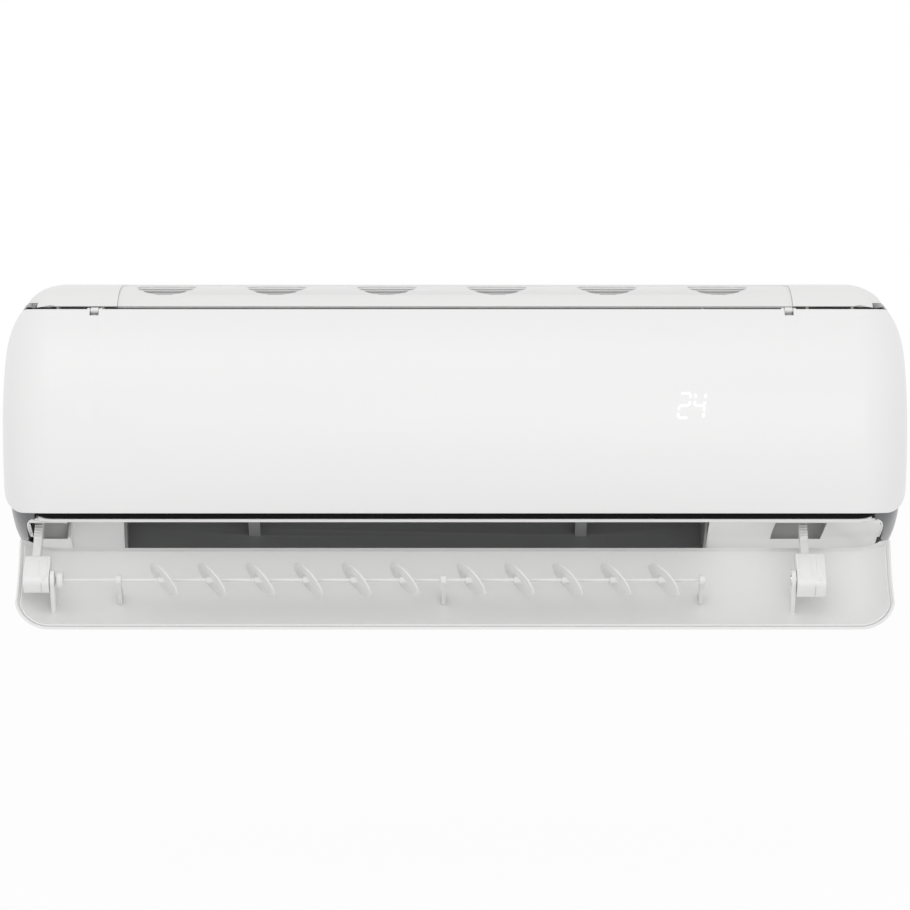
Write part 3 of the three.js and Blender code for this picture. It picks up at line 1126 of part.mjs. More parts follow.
function terminalBlock() {
  const x0 = BOX_X[0] + 12;
  const z0 = BOX_Z[0] + BOX_WALL + GAP;
  const back = BOX_DEPTHS[0] + BOX_WALL + 1;
  const screws = [0, 1, 2, 3].map((k) => rodY(1.6, back + 11, back + 33, x0 + 4.5 + 5 * k, z0 + 7.7, 10));
  return cut(block(x0, x0 + 24, back, back + 18, z0, z0 + 15.7), ...screws);
}

function displayBoard() {
  const back = behindFront(9);
  return block(DISPLAY_X - 26, DISPLAY_X + 26, back, back + 2.2, DISPLAY_Z - 16, DISPLAY_Z + 16);
}

// ---------------------------------------------------------------- assembly
add("wall_plate", wallPlate(), STEEL);
add("rear_casing", rearCasing(), WHITE_SATIN);
add("front_frame", frontFrame(), WHITE_SATIN);
add("top_grille", topGrille(), WHITE_SATIN);
add("left_side_trim", sideTrim(-1), SILVER);
add("right_side_trim", sideTrim(1), SILVER);
add("lower_strip", lowerStrip(), DARK_CHROME);
add("outlet_frame", outletFrame(), WHITE_SATIN);
add("air_duct", airDuct(), DARK_PLASTIC);
add("left_end_panel", leftEndPanel(), WHITE_SATIN);
add("right_end_panel", rightEndPanel(), WHITE_SATIN);
add("front_panel", frontPanel(), WHITE_GLOSS);

const leftHousing = driveHousing(LEFT_ARM_X - 9.5, LEFT_LUG_X - 2.6, LEFT_ARM_X, [-25, 11], 9.5);
const rightHousing = driveHousing(RIGHT_LUG_X + 2.6, RIGHT_ARM_X + 16.9, RIGHT_ARM_X, [-27, 15], 11);
add("left_drive_housing", leftHousing, WHITE_SATIN);
add("right_drive_housing", rightHousing, WHITE_SATIN);
for (const [side, x, motorSide] of [["left", LEFT_ARM_X, 1], ["right", RIGHT_ARM_X, -1]]) {
  add(`${side}_arm`, arm(x), WHITE_SATIN);
  add(`${side}_arm_guide`, armGuide(x, motorSide), DARK_PLASTIC);
  add(`${side}_pinion`, pinion(), WHITE_SATIN, pinionMount(x));
  add(`${side}_arm_motor`, armMotor(x, motorSide), STEEL);
}

add("flap_panel", flapPanel(), WHITE_GLOSS, flapShut);
add("flap_liner", flapLiner(), WHITE_SATIN, flapShut);
add("left_vane_bearing", vaneBearing(VANE_BEARING_LEFT), WHITE_SATIN, flapShut);
add("centre_vane_bearing", vaneBearing(VANE_BEARING_CENTRE), WHITE_SATIN, flapShut);
add("right_vane_bearing", vaneBearing(VANE_BEARING_RIGHT), WHITE_SATIN, flapShut);
const [bush0, bush1] = [LEFT_ARM_X - 2, LEFT_LUG_X + 2.6];
const bushBore = rodX(VANE_SHAFT_RADIUS + 0.25, bush0 - 1, bush1 + 1, PIVOT_SHUT, 16);
const tiltBush = rodX(TILT_SHAFT_RADIUS, bush0, bush1, PIVOT_SHUT).subtract(bushBore);
add("left_tilt_bush", tiltBush, WHITE_SATIN, flapShut);
const tiltShaft = rodX(TILT_SHAFT_RADIUS, RIGHT_LUG_X - 3, RIGHT_ARM_X + 3, PIVOT_SHUT);
add("right_tilt_shaft", tiltShaft, STEEL, flapShut);

const vaneAxis = new THREE.Group();
vaneAxis.position.set(0, -PIVOT_OPEN[0], PIVOT_OPEN[1]);
vaneAxis.rotation.x = -THREE.MathUtils.degToRad(VANE_PHASE_DEGREES);
root.add(vaneAxis);
const rodSplit = [VANE_BEARING_CENTRE - GAP / 2, VANE_BEARING_CENTRE + GAP / 2];
const leftRod = vaneRod(LEFT_LUG_X - 8, rodSplit[0], VANE_LEFT_START, VANE_LEFT_COUNT);
const rightRod = vaneRod(rodSplit[1], VANE_BEARING_RIGHT + 3.5, VANE_RIGHT_START, VANE_RIGHT_COUNT);
add("left_vane_rod", leftRod.add(vaneKnob()), WHITE_SATIN, vaneAxis);
add("right_vane_rod", rightRod, WHITE_SATIN, vaneAxis);

add("fan_rotor", fanRotor(), DARK_PLASTIC);
add("fan_stub_shaft", rodX(FAN_SHAFT_RADIUS, FAN_LEFT_X - 21, FAN_LEFT_X + 5.5, FAN_CENTRE, 16), STEEL);
add("motor_shaft", rodX(FAN_SHAFT_RADIUS, FAN_RIGHT_X - 5.5, FAN_RIGHT_X + 34, FAN_CENTRE, 16), STEEL);
add("bearing_holder", bearingHolder(), DARK_PLASTIC);
add("fan_bearing", fanBearing(), BLACK_RUBBER);
add("fan_motor", fanMotor(), STEEL);
add("motor_bracket", motorBracket(), DARK_PLASTIC);

for (const [name, line] of Object.entries(COIL_SLABS)) add(`coil_${name}`, coilSlab(line), ALUMINIUM);
add("left_coil_plate", coilEndPlate(COIL_LEFT_X - COIL_PLATE - GAP, -1), COPPER);
add("right_coil_plate", coilEndPlate(COIL_RIGHT_X + 2 * GAP, 1), COPPER);
add("drain_tray", drainTray(), DARK_PLASTIC);
add("drain_hose", drainHose(), BLACK_RUBBER);
add("gas_pipe", gasPipe(), COPPER);
add("liquid_pipe", liquidPipe(), COPPER);
add("gas_nut", flareNut(GAS_X, GAS_Z, GAS_PIPE_RADIUS), BRASS);
add("liquid_nut", flareNut(LIQUID_X, LIQUID_Z, LIQUID_PIPE_RADIUS), BRASS);

add("left_filter", filter(FILTER_WINDOWS[0]), MESH_GREY);
add("right_filter", filter(FILTER_WINDOWS[1]), MESH_GREY);
add("electric_box", electricBox(), BLACK_RUBBER);
add("box_cover", boxCover(), BLACK_RUBBER);
add("circuit_board", circuitBoard(), BOARD_GREEN);
add("terminal_block", terminalBlock(), WHITE_SATIN);
const button = rodY(BUTTON_RADIUS, BUTTON_FACE_DEPTH - 9, BUTTON_FACE_DEPTH, BUTTON_X, BUTTON_Z);
add("manual_button", button, WHITE_SATIN);
add("display_board", displayBoard(), BOARD_GREEN);

export default root;
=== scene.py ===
"""Dressed model of a wall-mounted mini split indoor unit with its outlet flap pushed out.

Sizes are in millimetres until a mesh is placed. "Depth" is the distance out from the wall, so a
point at depth d has y = -d. Sections are drawn as (depth, height) pairs.
"""

import logging
import math
from collections.abc import Callable, Iterator, Sequence
from contextlib import contextmanager
from dataclasses import dataclass
from enum import Enum

import bpy
from mathutils import Matrix, Vector


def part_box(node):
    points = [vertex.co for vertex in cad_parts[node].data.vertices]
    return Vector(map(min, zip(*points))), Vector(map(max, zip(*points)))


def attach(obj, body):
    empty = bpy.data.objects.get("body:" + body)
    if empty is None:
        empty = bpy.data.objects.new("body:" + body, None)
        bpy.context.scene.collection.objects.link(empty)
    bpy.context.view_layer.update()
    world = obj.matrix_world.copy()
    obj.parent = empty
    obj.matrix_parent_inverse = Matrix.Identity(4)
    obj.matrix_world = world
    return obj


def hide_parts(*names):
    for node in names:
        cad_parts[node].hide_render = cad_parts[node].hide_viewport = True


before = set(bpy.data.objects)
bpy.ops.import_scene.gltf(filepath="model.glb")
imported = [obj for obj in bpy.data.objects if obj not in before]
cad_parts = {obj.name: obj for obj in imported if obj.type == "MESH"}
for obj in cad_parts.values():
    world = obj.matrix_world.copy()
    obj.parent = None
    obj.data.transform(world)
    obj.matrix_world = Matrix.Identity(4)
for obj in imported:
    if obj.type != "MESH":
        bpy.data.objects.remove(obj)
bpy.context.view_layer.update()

log = logging.getLogger("mini_split")
logging.basicConfig(level=logging.INFO, format="%(name)s: %(message)s")

MM = 0.001
Section = tuple[float, float]
Colour = tuple[float, float, float]
Piece = bpy.types.Object
Socket = bpy.types.NodeSocket


# ------------------------------------------------------------------ materials
def socket_name(key: str) -> str:
    """Gives a socket's name from its lower-case form."""
    return key.replace("_", " ").title().replace("Ior", "IOR")


def feed(tree: bpy.types.NodeTree, socket: Socket, value: object) -> None:
    """Feeds an input from another node's output or with a plain value.

    Args:
        tree: the node tree.
        socket: the input.
        value: an output socket or a plain value.
    """
    if isinstance(value, Socket):
        tree.links.new(value, socket)
    else:
        socket.default_value = value


def add_node(tree: bpy.types.NodeTree, kind: str, *inputs: object, **settings: object) -> bpy.types.Node:
    """Adds a shader node.

    Args:
        tree: the node tree.
        kind: the node type's name after "ShaderNode".
        *inputs: what feeds the first inputs, in order.
        **settings: what feeds the inputs of these names, or the node's own settings.

    Returns:
        The new node.
    """
    made = tree.nodes.new("ShaderNode" + kind)
    for socket, value in zip(made.inputs, inputs):
        feed(tree, socket, value)
    for key, value in settings.items():
        if socket_name(key) in made.inputs:
            feed(tree, made.inputs[socket_name(key)], value)
        else:
            setattr(made, key, value)
    return made


class NodeBench:
    """Bench on which one material's nodes are laid out."""

    def __init__(self, name: str) -> None:
        """Starts a material with a shader and Object coordinates.

        Args:
            name: the material's name.
        """
        self.material = bpy.data.materials.new(name)
        self.material.use_nodes = True
        self.tree = self.material.node_tree
        self.shader = self.tree.nodes["Principled BSDF"]
        self.coordinates = self.node("TexCoord").outputs["Object"]

    def node(self, kind: str, *inputs: object, **settings: object) -> bpy.types.Node:
        """Adds a node to this material, as add_node does."""
        return add_node(self.tree, kind, *inputs, **settings)

    def noise(self, scale: float, detail: float = 4.0, stretch: Sequence[float] = (1, 1, 1)) -> Socket:
        """Gives a noise value.

        Args:
            scale: how fine the noise is, in cycles for each metre.
            detail: how many finer layers it has.
            stretch: a scale for each axis.

        Returns:
            The noise's factor socket.
        """
        place = self.node("Mapping", vector=self.coordinates, scale=stretch).outputs["Vector"]
        return self.node("TexNoise", vector=place, scale=scale, detail=detail).outputs["Fac"]

    def waves(self, scale: float, direction: str) -> Socket:
        """Gives straight bands across an axis, math.pi / 10 / scale metres apart."""
        return self.node("TexWave", vector=self.coordinates, scale=scale, wave_type="BANDS",
                         bands_direction=direction).outputs["Fac"]

    def paint(self, factor: Socket, low: Colour, high: Colour, start: float = 0.3, end: float = 0.7) -> Socket:
        """Colours the surface between two colours by a factor.

        Args:
            factor: the value to read.
            low: the colour up to the start.
            high: the colour from the end on.
            start: factor at which the low colour ends.
            end: factor at which the high colour begins.

        Returns:
            The colour socket.
        """
        ramp = self.node("ValToRGB", factor)
        for element, place, colour in zip(ramp.color_ramp.elements, (start, end), (low, high)):
            element.position, element.color = place, (*colour, 1)
        self.sockets(base_color=ramp.outputs["Color"])
        return ramp.outputs["Color"]

    def gloss(self, factor: Socket, low: float, high: float) -> None:
        """Spreads the roughness over a range by a factor."""
        spread = self.node("MapRange", value=factor, to_min=low, to_max=high)
        self.sockets(roughness=spread.outputs["Result"])

    def bump(self, height: Socket, distance: float, strength: float) -> None:
        """Bumps the surface by a height that reaches a distance in metres."""
        bump = self.node("Bump", height=height, distance=distance, strength=strength)
        self.sockets(normal=bump.outputs["Normal"])

    def sockets(self, **values: object) -> None:
        """Feeds the shader's inputs by their lower-case names."""
        for key, value in values.items():
            feed(self.tree, self.shader.inputs[socket_name(key)], value)


def shade(colour: Colour, factor: float) -> Colour:
    """Gives a colour scaled by a factor, no brighter than 1."""
    return tuple(min(1.0, channel * factor) for channel in colour)


@dataclass(frozen=True)
class Finish:
    """A surface finish. Each kind of finish draws its own pattern.

    Attributes:
        name: the material's name.
        slot: the record's material slot; not used.
        colour: base colour, linear.
        roughness: middle of the roughness range, or its low end.
    """

    name: str
    slot: str
    colour: Colour
    roughness: float = 0.5

    def draw(self, bench: NodeBench) -> None:
        """Draws the pattern on a bench."""
        raise NotImplementedError

    def material(self) -> bpy.types.Material:
        """Gives the finish's material, made once.

        Returns:
            The material.
        """
        known = bpy.data.materials.get(self.name)
        if known is not None:
            return known
        bench = NodeBench(self.name)
        bench.sockets(roughness=self.roughness)
        self.draw(bench)
        return bench.material


@dataclass(frozen=True)
class MouldedPlastic(Finish):
    """Injection-moulded plastic with a fine texture and faint flow marks.

    Attributes:
        grain: height of the moulded texture in metres.
        coat: weight of the clear gloss layer.
        mottle: how far the colour drifts.
        ior: index of refraction, which sets how strongly the bare plastic mirrors.
    """

    grain: float = 0.00002
    coat: float = 0.0
    mottle: float = 0.015
    ior: float = 1.47

    def draw(self, bench: NodeBench) -> None:
        """Draws flow marks, a gloss that varies and the moulded grain.

        Args:
            bench: the material's bench.
        """
        bench.paint(bench.noise(7, 3, (0.35, 1, 1)), shade(self.colour, 1 - self.mottle), self.colour)
        bench.gloss(bench.noise(90, 5), self.roughness - 0.04, self.roughness + 0.04)
        bench.bump(bench.noise(2600, 2), self.grain, 0.6)
        bench.sockets(coat_weight=self.coat, coat_roughness=0.06, ior=self.ior)


@dataclass(frozen=True)
class SilverPaint(Finish):
    """Metallic paint: fine bright flake under a satin clear coat."""

    def draw(self, bench: NodeBench) -> None:
        """Draws the flake and a slow drift of gloss.

        Args:
            bench: the material's bench.
        """
        flake = bench.node("TexVoronoi", vector=bench.coordinates, scale=5200).outputs["Distance"]
        bench.paint(flake, shade(self.colour, 0.8), shade(self.colour, 1.1), 0.1, 0.8)
        bench.gloss(bench.noise(60), self.roughness - 0.05, self.roughness + 0.06)
        bench.bump(bench.noise(1900, 2), 0.000012, 0.5)
        bench.sockets(metallic=0.75, coat_weight=0.35, coat_roughness=0.12)


@dataclass(frozen=True)
class DrawnMetal(Finish):
    """Bare metal with draw or brush lines along one axis.

    Attributes:
        along: scale for each axis; the lines run along the axis with the smallest.
    """

    along: tuple[float, float, float] = (0.03, 1, 1)

    def draw(self, bench: NodeBench) -> None:
        """Draws the lines and a tarnish that drifts.

        Args:
            bench: the material's bench.
        """
        lines = bench.noise(1400, 3, self.along)
        bench.paint(bench.noise(35, 5), shade(self.colour, 0.8), self.colour)
        bench.gloss(lines, self.roughness - 0.1, self.roughness + 0.12)
        bench.bump(lines, 0.00001, 0.6)
        bench.sockets(metallic=1.0)


@dataclass(frozen=True)
class SpangledSteel(Finish):
    """Galvanised sheet with large zinc crystals."""

    def draw(self, bench: NodeBench) -> None:
        """Draws the crystals in tone and in gloss.

        Args:
            bench: the material's bench.
        """
        crystal = bench.node("TexVoronoi", vector=bench.coordinates, scale=130)
        tone = bench.node("SeparateColor", crystal.outputs["Color"]).outputs
        bench.paint(tone[0], shade(self.colour, 0.72), self.colour, 0.0, 1.0)
        bench.gloss(tone[1], self.roughness - 0.08, self.roughness + 0.12)
        bench.sockets(metallic=0.95)


@dataclass(frozen=True)
class Finned(Finish):
    """Aluminium fins seen edge on.

    Attributes:
        scale: scale of the bands. 71.4 sets the fins 4.4 mm apart, wider than real fins.
    """

    scale: float = 71.42857

    def draw(self, bench: NodeBench) -> None:
        """Draws one line for each fin across X, with painted shade in the gaps between fins.

        Args:
            bench: the material's bench.
        """
        fins = bench.waves(self.scale, "X")
        # Painted shade: the gaps between fins are drawn dark.
        bench.paint(fins, shade(self.colour, 0.28), self.colour, 0.15, 0.6)
        bench.gloss(bench.noise(300), self.roughness, self.roughness + 0.2)
        bench.bump(fins, 0.0004, 0.9)
        bench.sockets(metallic=0.9)


@dataclass(frozen=True)
class Gauze(Finish):
    """Filter gauze: a square net of threads.

    Attributes:
        scale: scale of the bands. 90.9 sets the threads 3.5 mm apart, wider than real gauze.
    """

    scale: float = 90.90909

    def draw(self, bench: NodeBench) -> None:
        """Draws the threads across X and Z, with painted shade in the openings between them.

        Args:
            bench: the material's bench.
        """
        threads = bench.node("Math", bench.waves(self.scale, "X"), bench.waves(self.scale, "Z"),
                             operation="MAXIMUM").outputs[0]
        # Painted shade: the openings between threads are drawn dark.
        bench.paint(threads, shade(self.colour, 0.25), self.colour, 0.55, 0.85)
        bench.bump(threads, 0.0002, 0.8)
        bench.gloss(bench.noise(400), self.roughness - 0.05, self.roughness + 0.1)


@dataclass(frozen=True)
class BoardPattern(Finish):
    """Circuit board: copper tracks under green resist."""

    def draw(self, bench: NodeBench) -> None:
        """Draws blocks of tracks and the resist's gloss.

        Args:
            bench: the material's bench.
        """
        turned = bench.node("Mapping", vector=bench.coordinates, rotation=(math.pi / 2, 0, 0))
        tracks = bench.node("TexBrick", vector=turned.outputs["Vector"], scale=120, mortar_size=0.06,
                            color1=(*self.colour, 1), color2=(*shade(self.colour, 0.7), 1),
                            mortar=(*shade(self.colour, 1.9), 1)).outputs
        bench.sockets(base_color=tracks["Color"])
        bench.gloss(tracks["Fac"], self.roughness, self.roughness + 0.2)
        bench.bump(tracks["Fac"], 0.00006, 0.5)


@dataclass(frozen=True)
class Lit(Finish):
    """Light that shines through the panel.

    Attributes:
        strength: how bright it is.
    """

    strength: float = 0.35

    def draw(self, bench: NodeBench) -> None:
        """Draws a soft, slightly uneven glow."""
        glow = bench.paint(bench.noise(240, 2), shade(self.colour, 0.96), self.colour)
        bench.sockets(emission_color=glow, emission_strength=self.strength)


class Finishes(Enum):
    """The unit's finishes."""

    PANEL = MouldedPlastic("panel_white_gloss", "white_gloss", (0.89, 0.89, 0.888), 0.34, 0.000006, 0.12, 0.008)
    CASING = MouldedPlastic("casing_white_satin", "white_satin", (0.86, 0.86, 0.855), 0.42, 0.000012, 0.0, 0.012)
    FLAP = MouldedPlastic("flap_white_satin", "white_gloss", (0.87, 0.87, 0.865), 0.36, 0.000008, 0.1, 0.012)
    GEAR = MouldedPlastic("gear_white_acetal", "white_satin", (0.82, 0.82, 0.81), 0.38, 0.000006, 0.0, 0.02)
    TRIM = SilverPaint("trim_silver_paint", "silver_trim", (0.15, 0.152, 0.157), 0.34)
    STRIP = MouldedPlastic("strip_black_gloss", "dark_strip", (0.006, 0.006, 0.007), 0.1, 0.000003, 0.0, 0.2, 1.17)
    DUCT = MouldedPlastic("duct_dark_grey", "dark_plastic", (0.26, 0.261, 0.265), 0.5, 0.00003, 0.0, 0.08)
    # Painted shade: the struts are of the duct's own moulding, darkened to paint the shade that falls on them.
    STRUT = MouldedPlastic("duct_strut_painted_shade", "dark_plastic", (0.06, 0.061, 0.064), 0.55, 0.00003, 0.0, 0.08)
    GUIDE = MouldedPlastic("guide_dark_grey", "dark_plastic", (0.07, 0.071, 0.074), 0.5, 0.00003, 0.0, 0.08)
    FAN = MouldedPlastic("fan_charcoal", "fan_plastic", (0.03, 0.03, 0.032), 0.5, 0.00002, 0.0, 0.1)
    RUBBER = MouldedPlastic("rubber_black", "black_rubber", (0.018, 0.018, 0.018), 0.8, 0.00006, 0.0, 0.2)
    BOX = MouldedPlastic("box_black_plastic", "box_black", (0.03, 0.03, 0.03), 0.55, 0.00004, 0.0, 0.12)
    TERMINAL = MouldedPlastic("terminal_ivory", "white_satin", (0.62, 0.60, 0.52), 0.45, 0.00001, 0.0, 0.03)
    ZINC = SpangledSteel("galvanised_sheet", "galvanised_steel", (0.55, 0.56, 0.57), 0.4)
    MOTOR = DrawnMetal("motor_steel", "motor_steel", (0.5, 0.5, 0.51), 0.38, (1, 1, 0.05))
    SHAFT = DrawnMetal("shaft_steel", "shaft_steel", (0.6, 0.6, 0.61), 0.25, (0.05, 1, 1))
    FINS = Finned("coil_fins", "fin_aluminium", (0.72, 0.73, 0.74), 0.4)
    PLATE = DrawnMetal("coil_plate_aluminium", "fin_aluminium", (0.66, 0.67, 0.68), 0.36, (1, 1, 0.05))
    COPPER = DrawnMetal("copper_tube", "copper", (0.62, 0.27, 0.14), 0.3, (0.1, 0.1, 1))
    BRASS = DrawnMetal("brass_nut", "brass", (0.62, 0.44, 0.16), 0.28, (1, 0.06, 1))
    GAUZE = Gauze("filter_gauze", "filter_grey", (0.30, 0.32, 0.33), 0.7)
    BOARD = BoardPattern("circuit_board_green", "board_green", (0.02, 0.13, 0.05), 0.35)
    DIGIT = Lit("digit_light", "white_gloss", (1.0, 1.0, 1.0), 0.5, 0.35)


# ------------------------------------------------------------------ modelling by hand
# Points nearer than this, in metres, are one point. Facets that meet at less than the melt angle are one face.
DOUBLES = 2e-6
MELT_DEGREES = 1.0
# Edges sharper than this are rounded where a solid's copy is softened.
SOLID_DEGREES = 32.0


def clear_selection() -> None:
    """Leaves edit mode and deselects every object."""
    if bpy.context.object is not None and bpy.context.object.mode != "OBJECT":
        bpy.ops.object.mode_set(mode="OBJECT")
    bpy.ops.object.select_all(action="DESELECT")


def hold(piece: Piece) -> None:
    """Makes a piece the only selected and active object.

    Args:
        piece: the object.
    """
    clear_selection()
    piece.select_set(True)
    bpy.context.view_layer.objects.active = piece


@contextmanager
def editing(piece: Piece) -> Iterator[None]:
    """Holds a piece in edit mode with all of its mesh selected.

    Args:
        piece: the object to edit.

    Yields:
        Nothing, while the piece is in edit mode.
    """
    hold(piece)
    bpy.ops.object.mode_set(mode="EDIT")
    bpy.ops.mesh.select_all(action="SELECT")
    yield
    bpy.ops.object.mode_set(mode="OBJECT")


def modify(piece: Piece, kind: str, **settings: object) -> None:
    """Adds a modifier and applies it.

    Args:
        piece: the object to change.
        kind: the modifier's type.
        **settings: the modifier's settings.
    """
    hold(piece)
    modifier = piece.modifiers.new(kind.lower(), kind)
    for key, value in settings.items():
        setattr(modifier, key, value)
    bpy.ops.object.modifier_apply(modifier=modifier.name)


def face_outwards(piece: Piece) -> None:
    """Merges doubles and makes the faces' directions agree, outwards on a closed shell.

    Args:
        piece: the object to change.
    """
    with editing(piece):
        bpy.ops.mesh.remove_doubles(threshold=DOUBLES)
        bpy.ops.mesh.normals_make_consistent(inside=False)


def rounded(piece: Piece, width: float, segments: int = 2, degrees: float = 40.0) -> None:
    """Rounds a piece's sharp edges.

    Args:
        piece: the object to change.
        width: the edge radius in millimetres.
        segments: faces across each rounding.
        degrees: edges sharper than this are rounded.
    """
    modify(piece, "BEVEL", width=width * MM, segments=segments, limit_method="ANGLE",
           angle_limit=math.radians(degrees), harden_normals=False, use_clamp_overlap=True)


def united(name: str, parts: Sequence[Piece]) -> Piece:
    """Joins objects into one object with one mesh.

    Args:
        name: the joined object's name.
        parts: the objects to join; the first one is kept.

    Returns:
        The joined object.
    """
    clear_selection()
    for part in parts:
        part.select_set(True)
    bpy.context.view_layer.objects.active = parts[0]
    if len(parts) > 1:
        bpy.ops.object.join()
    parts[0].name = name
    parts[0].data.name = name
    return parts[0]


def deliver(piece: Piece, body: str, finish: Finishes, degrees: float, node: str = "") -> None:
    """Smooths and dresses a piece, hands it to the frame and reports it.

    Args:
        piece: the finished object.
        body: the body that it rides on.
        finish: the finish that it gets.
        degrees: edges flatter than this are shaded smooth.
        node: the CAD node that it stands for, where there is one.
    """
    hold(piece)
    bpy.ops.object.shade_smooth_by_angle(angle=math.radians(degrees))
    piece.data.materials.clear()
    piece.data.materials.append(finish.value.material())
    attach(piece, body)
    if node:
        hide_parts(node)
    log.info("%s: %d faces on %s", piece.name, len(piece.data.polygons), body)


def slab(corners: Sequence[Sequence[float]], push: Sequence[float]) -> Piece:
    """Fills an outline and extrudes it.

    Args:
        corners: the outline's corners in millimetres.
        push: how far it is extruded along each axis, in millimetres.

    Returns:
        The slab, its place in its mesh.
    """
    clear_selection()
    bpy.ops.mesh.primitive_circle_add(vertices=len(corners), radius=1, fill_type="NGON")
    piece = bpy.context.object
    for vertex, corner in zip(piece.data.vertices, corners):
        vertex.co = [value * MM for value in corner]
    with editing(piece):
        bpy.ops.mesh.extrude_region_move(TRANSFORM_OT_translate={"value": [value * MM for value in push]})
    return piece


def plate_x(outline: Sequence[Section], x0: float, x1: float) -> Piece:
    """Extrudes an outline along X.

    Args:
        outline: corners as depth and height.
        x0: left end.
        x1: right end.

    Returns:
        The plate.
    """
    piece = slab([(x0, -depth, height) for depth, height in outline], (x1 - x0, 0, 0))
    face_outwards(piece)
    return piece


def cylinder(radius: float, length: float, place: Sequence[float], turn: Sequence[float], sides: int) -> Piece:
    """Adds a cylinder and puts its place into its mesh.

    Args:
        radius: in millimetres, as the length is.
        length: the distance between its ends.
        place: its centre in metres.
        turn: its turn about each axis in radians.
        sides: faces round it.

    Returns:
        The cylinder.
    """
    clear_selection()
    bpy.ops.mesh.primitive_cylinder_add(vertices=sides, radius=radius * MM, depth=length * MM, location=place,
                                        rotation=turn)
    piece = bpy.context.object
    hold(piece)
    bpy.ops.object.transform_apply(location=True, rotation=True, scale=True)
    return piece


def rod_x(radius: float, x0: float, x1: float, centre: Section, sides: int = 48, edge: float = 0.3) -> Piece:
    """Turns a rod along X with rounded ends.

    Args:
        radius: in millimetres, as the other sizes are.
        x0: left end.
        x1: right end.
        centre: the axis, as depth and height.
        sides: faces round it.
        edge: the ends' edge radius.

    Returns:
        The rod.
    """
    place = ((x0 + x1) / 2 * MM, -centre[0] * MM, centre[1] * MM)
    piece = cylinder(radius, x1 - x0, place, (0, math.pi / 2, 0), sides)
    if edge > 0:
        rounded(piece, edge, 2, 60)
    return piece


def softened(node: str, width: float = 0.0, segments: int = 2) -> Piece:
    """Copies a CAD node, joins its flat facets and rounds its edges.

    Args:
        node: the CAD node's name.
        width: edge radius in millimetres.
        segments: faces across each rounding.

    Returns:
        The new object, named after the node.
    """
    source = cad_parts[node]
    piece = source.copy()
    piece.data = source.data.copy()
    piece.parent = None
    for key in list(piece.keys()):
        del piece[key]
    piece.name = node + "_fine"
    bpy.context.scene.collection.objects.link(piece)
    with editing(piece):
        bpy.ops.mesh.customdata_custom_splitnormals_clear()
        bpy.ops.mesh.remove_doubles(threshold=DOUBLES)
        bpy.ops.mesh.dissolve_limited(angle_limit=math.radians(MELT_DEGREES))
    if width > 0:
        rounded(piece, width, segments, SOLID_DEGREES)
    return piece


# ------------------------------------------------------------------ the unit's outer form
# The panel's hinge axis, and the flap's tilt axis with the arms run out, as depth and height.
HINGE = (133.8, 110.8)
PIVOT = (180.0, -138.5)


def bezier(points: Sequence[Section], count: int) -> list[Section]:
    """Samples a cubic curve, its first point left out.

    Args:
        points: the four control points.
        count: how many points to give.

    Returns:
        Points from just past the start to the end.
    """
    made = []
    for step in range(1, count + 1):
        t = step / count
        weights = ((1 - t) ** 3, 3 * t * (1 - t) ** 2, 3 * t * t * (1 - t), t ** 3)
        made.append(tuple(sum(w * p[axis] for w, p in zip(weights, points)) for axis in (0, 1)))
    return made


def chained(*curves: tuple[Sequence[Section], int]) -> list[Section]:
    """Samples curves one after another, each given as control points and a count of points."""
    return [curves[0][0][0]] + [point for points, count in curves for point in bezier(points, count)]


@dataclass(frozen=True)
class Pillow:
    """Side section carried along X, whose ends round off towards a smaller section.

    Attributes:
        half: half the width.
        inset: how far the surface lies inside the outer skin.
        start: where the ends start to round off.
        centre_z: height that the ends shrink towards.
        shrink_z: how far the end section shrinks in height.
        shrink_depth: how far it shrinks in depth.
    """

    half: float = 424.0
    inset: float = 0.0
    start: float = 374.0
    centre_z: float = -5.0
    shrink_z: float = 0.42
    shrink_depth: float = 0.32

    def section(self) -> list[Section]:
        """Gives the skin's side section, moved in by the inset.

        Returns:
            Its points from the top round to the underside.
        """
        line = chained((((62, 136), (98, 136), (121, 127), (137, 113.6)), 24),
                       (((137, 113.6), (161, 92.6), (183, 60), (183, 5)), 48),
                       (((183, 5), (183, -30), (178, -56), (170, -77.3)), 36),
                       (((170, -77.3), (160, -106), (130, -132), (84, -137)), 60)) + [(70.0, -137.0), (40.0, -137.0)]
        if self.inset == 0:
            return line
        moved = []
        for index, point in enumerate(line):
            before, after = line[max(0, index - 1)], line[min(len(line) - 1, index + 1)]
            along = Vector((after[0] - before[0], after[1] - before[1])).normalized()
            moved.append((point[0] + along.y * self.inset, point[1] - along.x * self.inset))
        return moved

    def shrink(self, x: float) -> float:
        """Gives how far an end has rounded off at a place, from 0 to 1."""
        turn = (abs(x) - self.start) / (self.half - self.inset - self.start)
        return 0.0 if turn <= 0 else 1.0 - math.sqrt(max(0.0, 1.0 - min(1.0, turn) ** 2))

    def column(self, x: float) -> list[Section]:
        """Gives the section at a place.

        Args:
            x: the place along X.

        Returns:
            The section's points there.
        """
        amount = self.shrink(x)
        return [(d * (1 - self.shrink_depth * amount),
                 self.centre_z + (z - self.centre_z) * (1 - self.shrink_z * amount)) for d, z in self.section()]


def height_of(point: Section) -> float:
    """Gives a point's height."""
    return point[1]


def between(a: Section, b: Section, share: float) -> Section:
    """Gives the point at a share of the way from one point to another."""
    return (a[0] + (b[0] - a[0]) * share, a[1] + (b[1] - a[1]) * share)


def cross(line: Sequence[Section], measure: Callable[[Section], float], value: float) -> Section:
    """Finds where a measure that falls along a line reaches a value.

    Args:
        line: the line's points.
        measure: gives a number for a point.
        value: the number to find.

    Returns:
        The point on the line, or the line's nearer end where there is none.
    """
    for first, second in zip(line, line[1:]):
        a, b = measure(first), measure(second)
        if a >= value >= b and a > b:
            return between(first, second, (a - value) / (a - b))
    return line[0] if measure(line[0]) < value else line[-1]


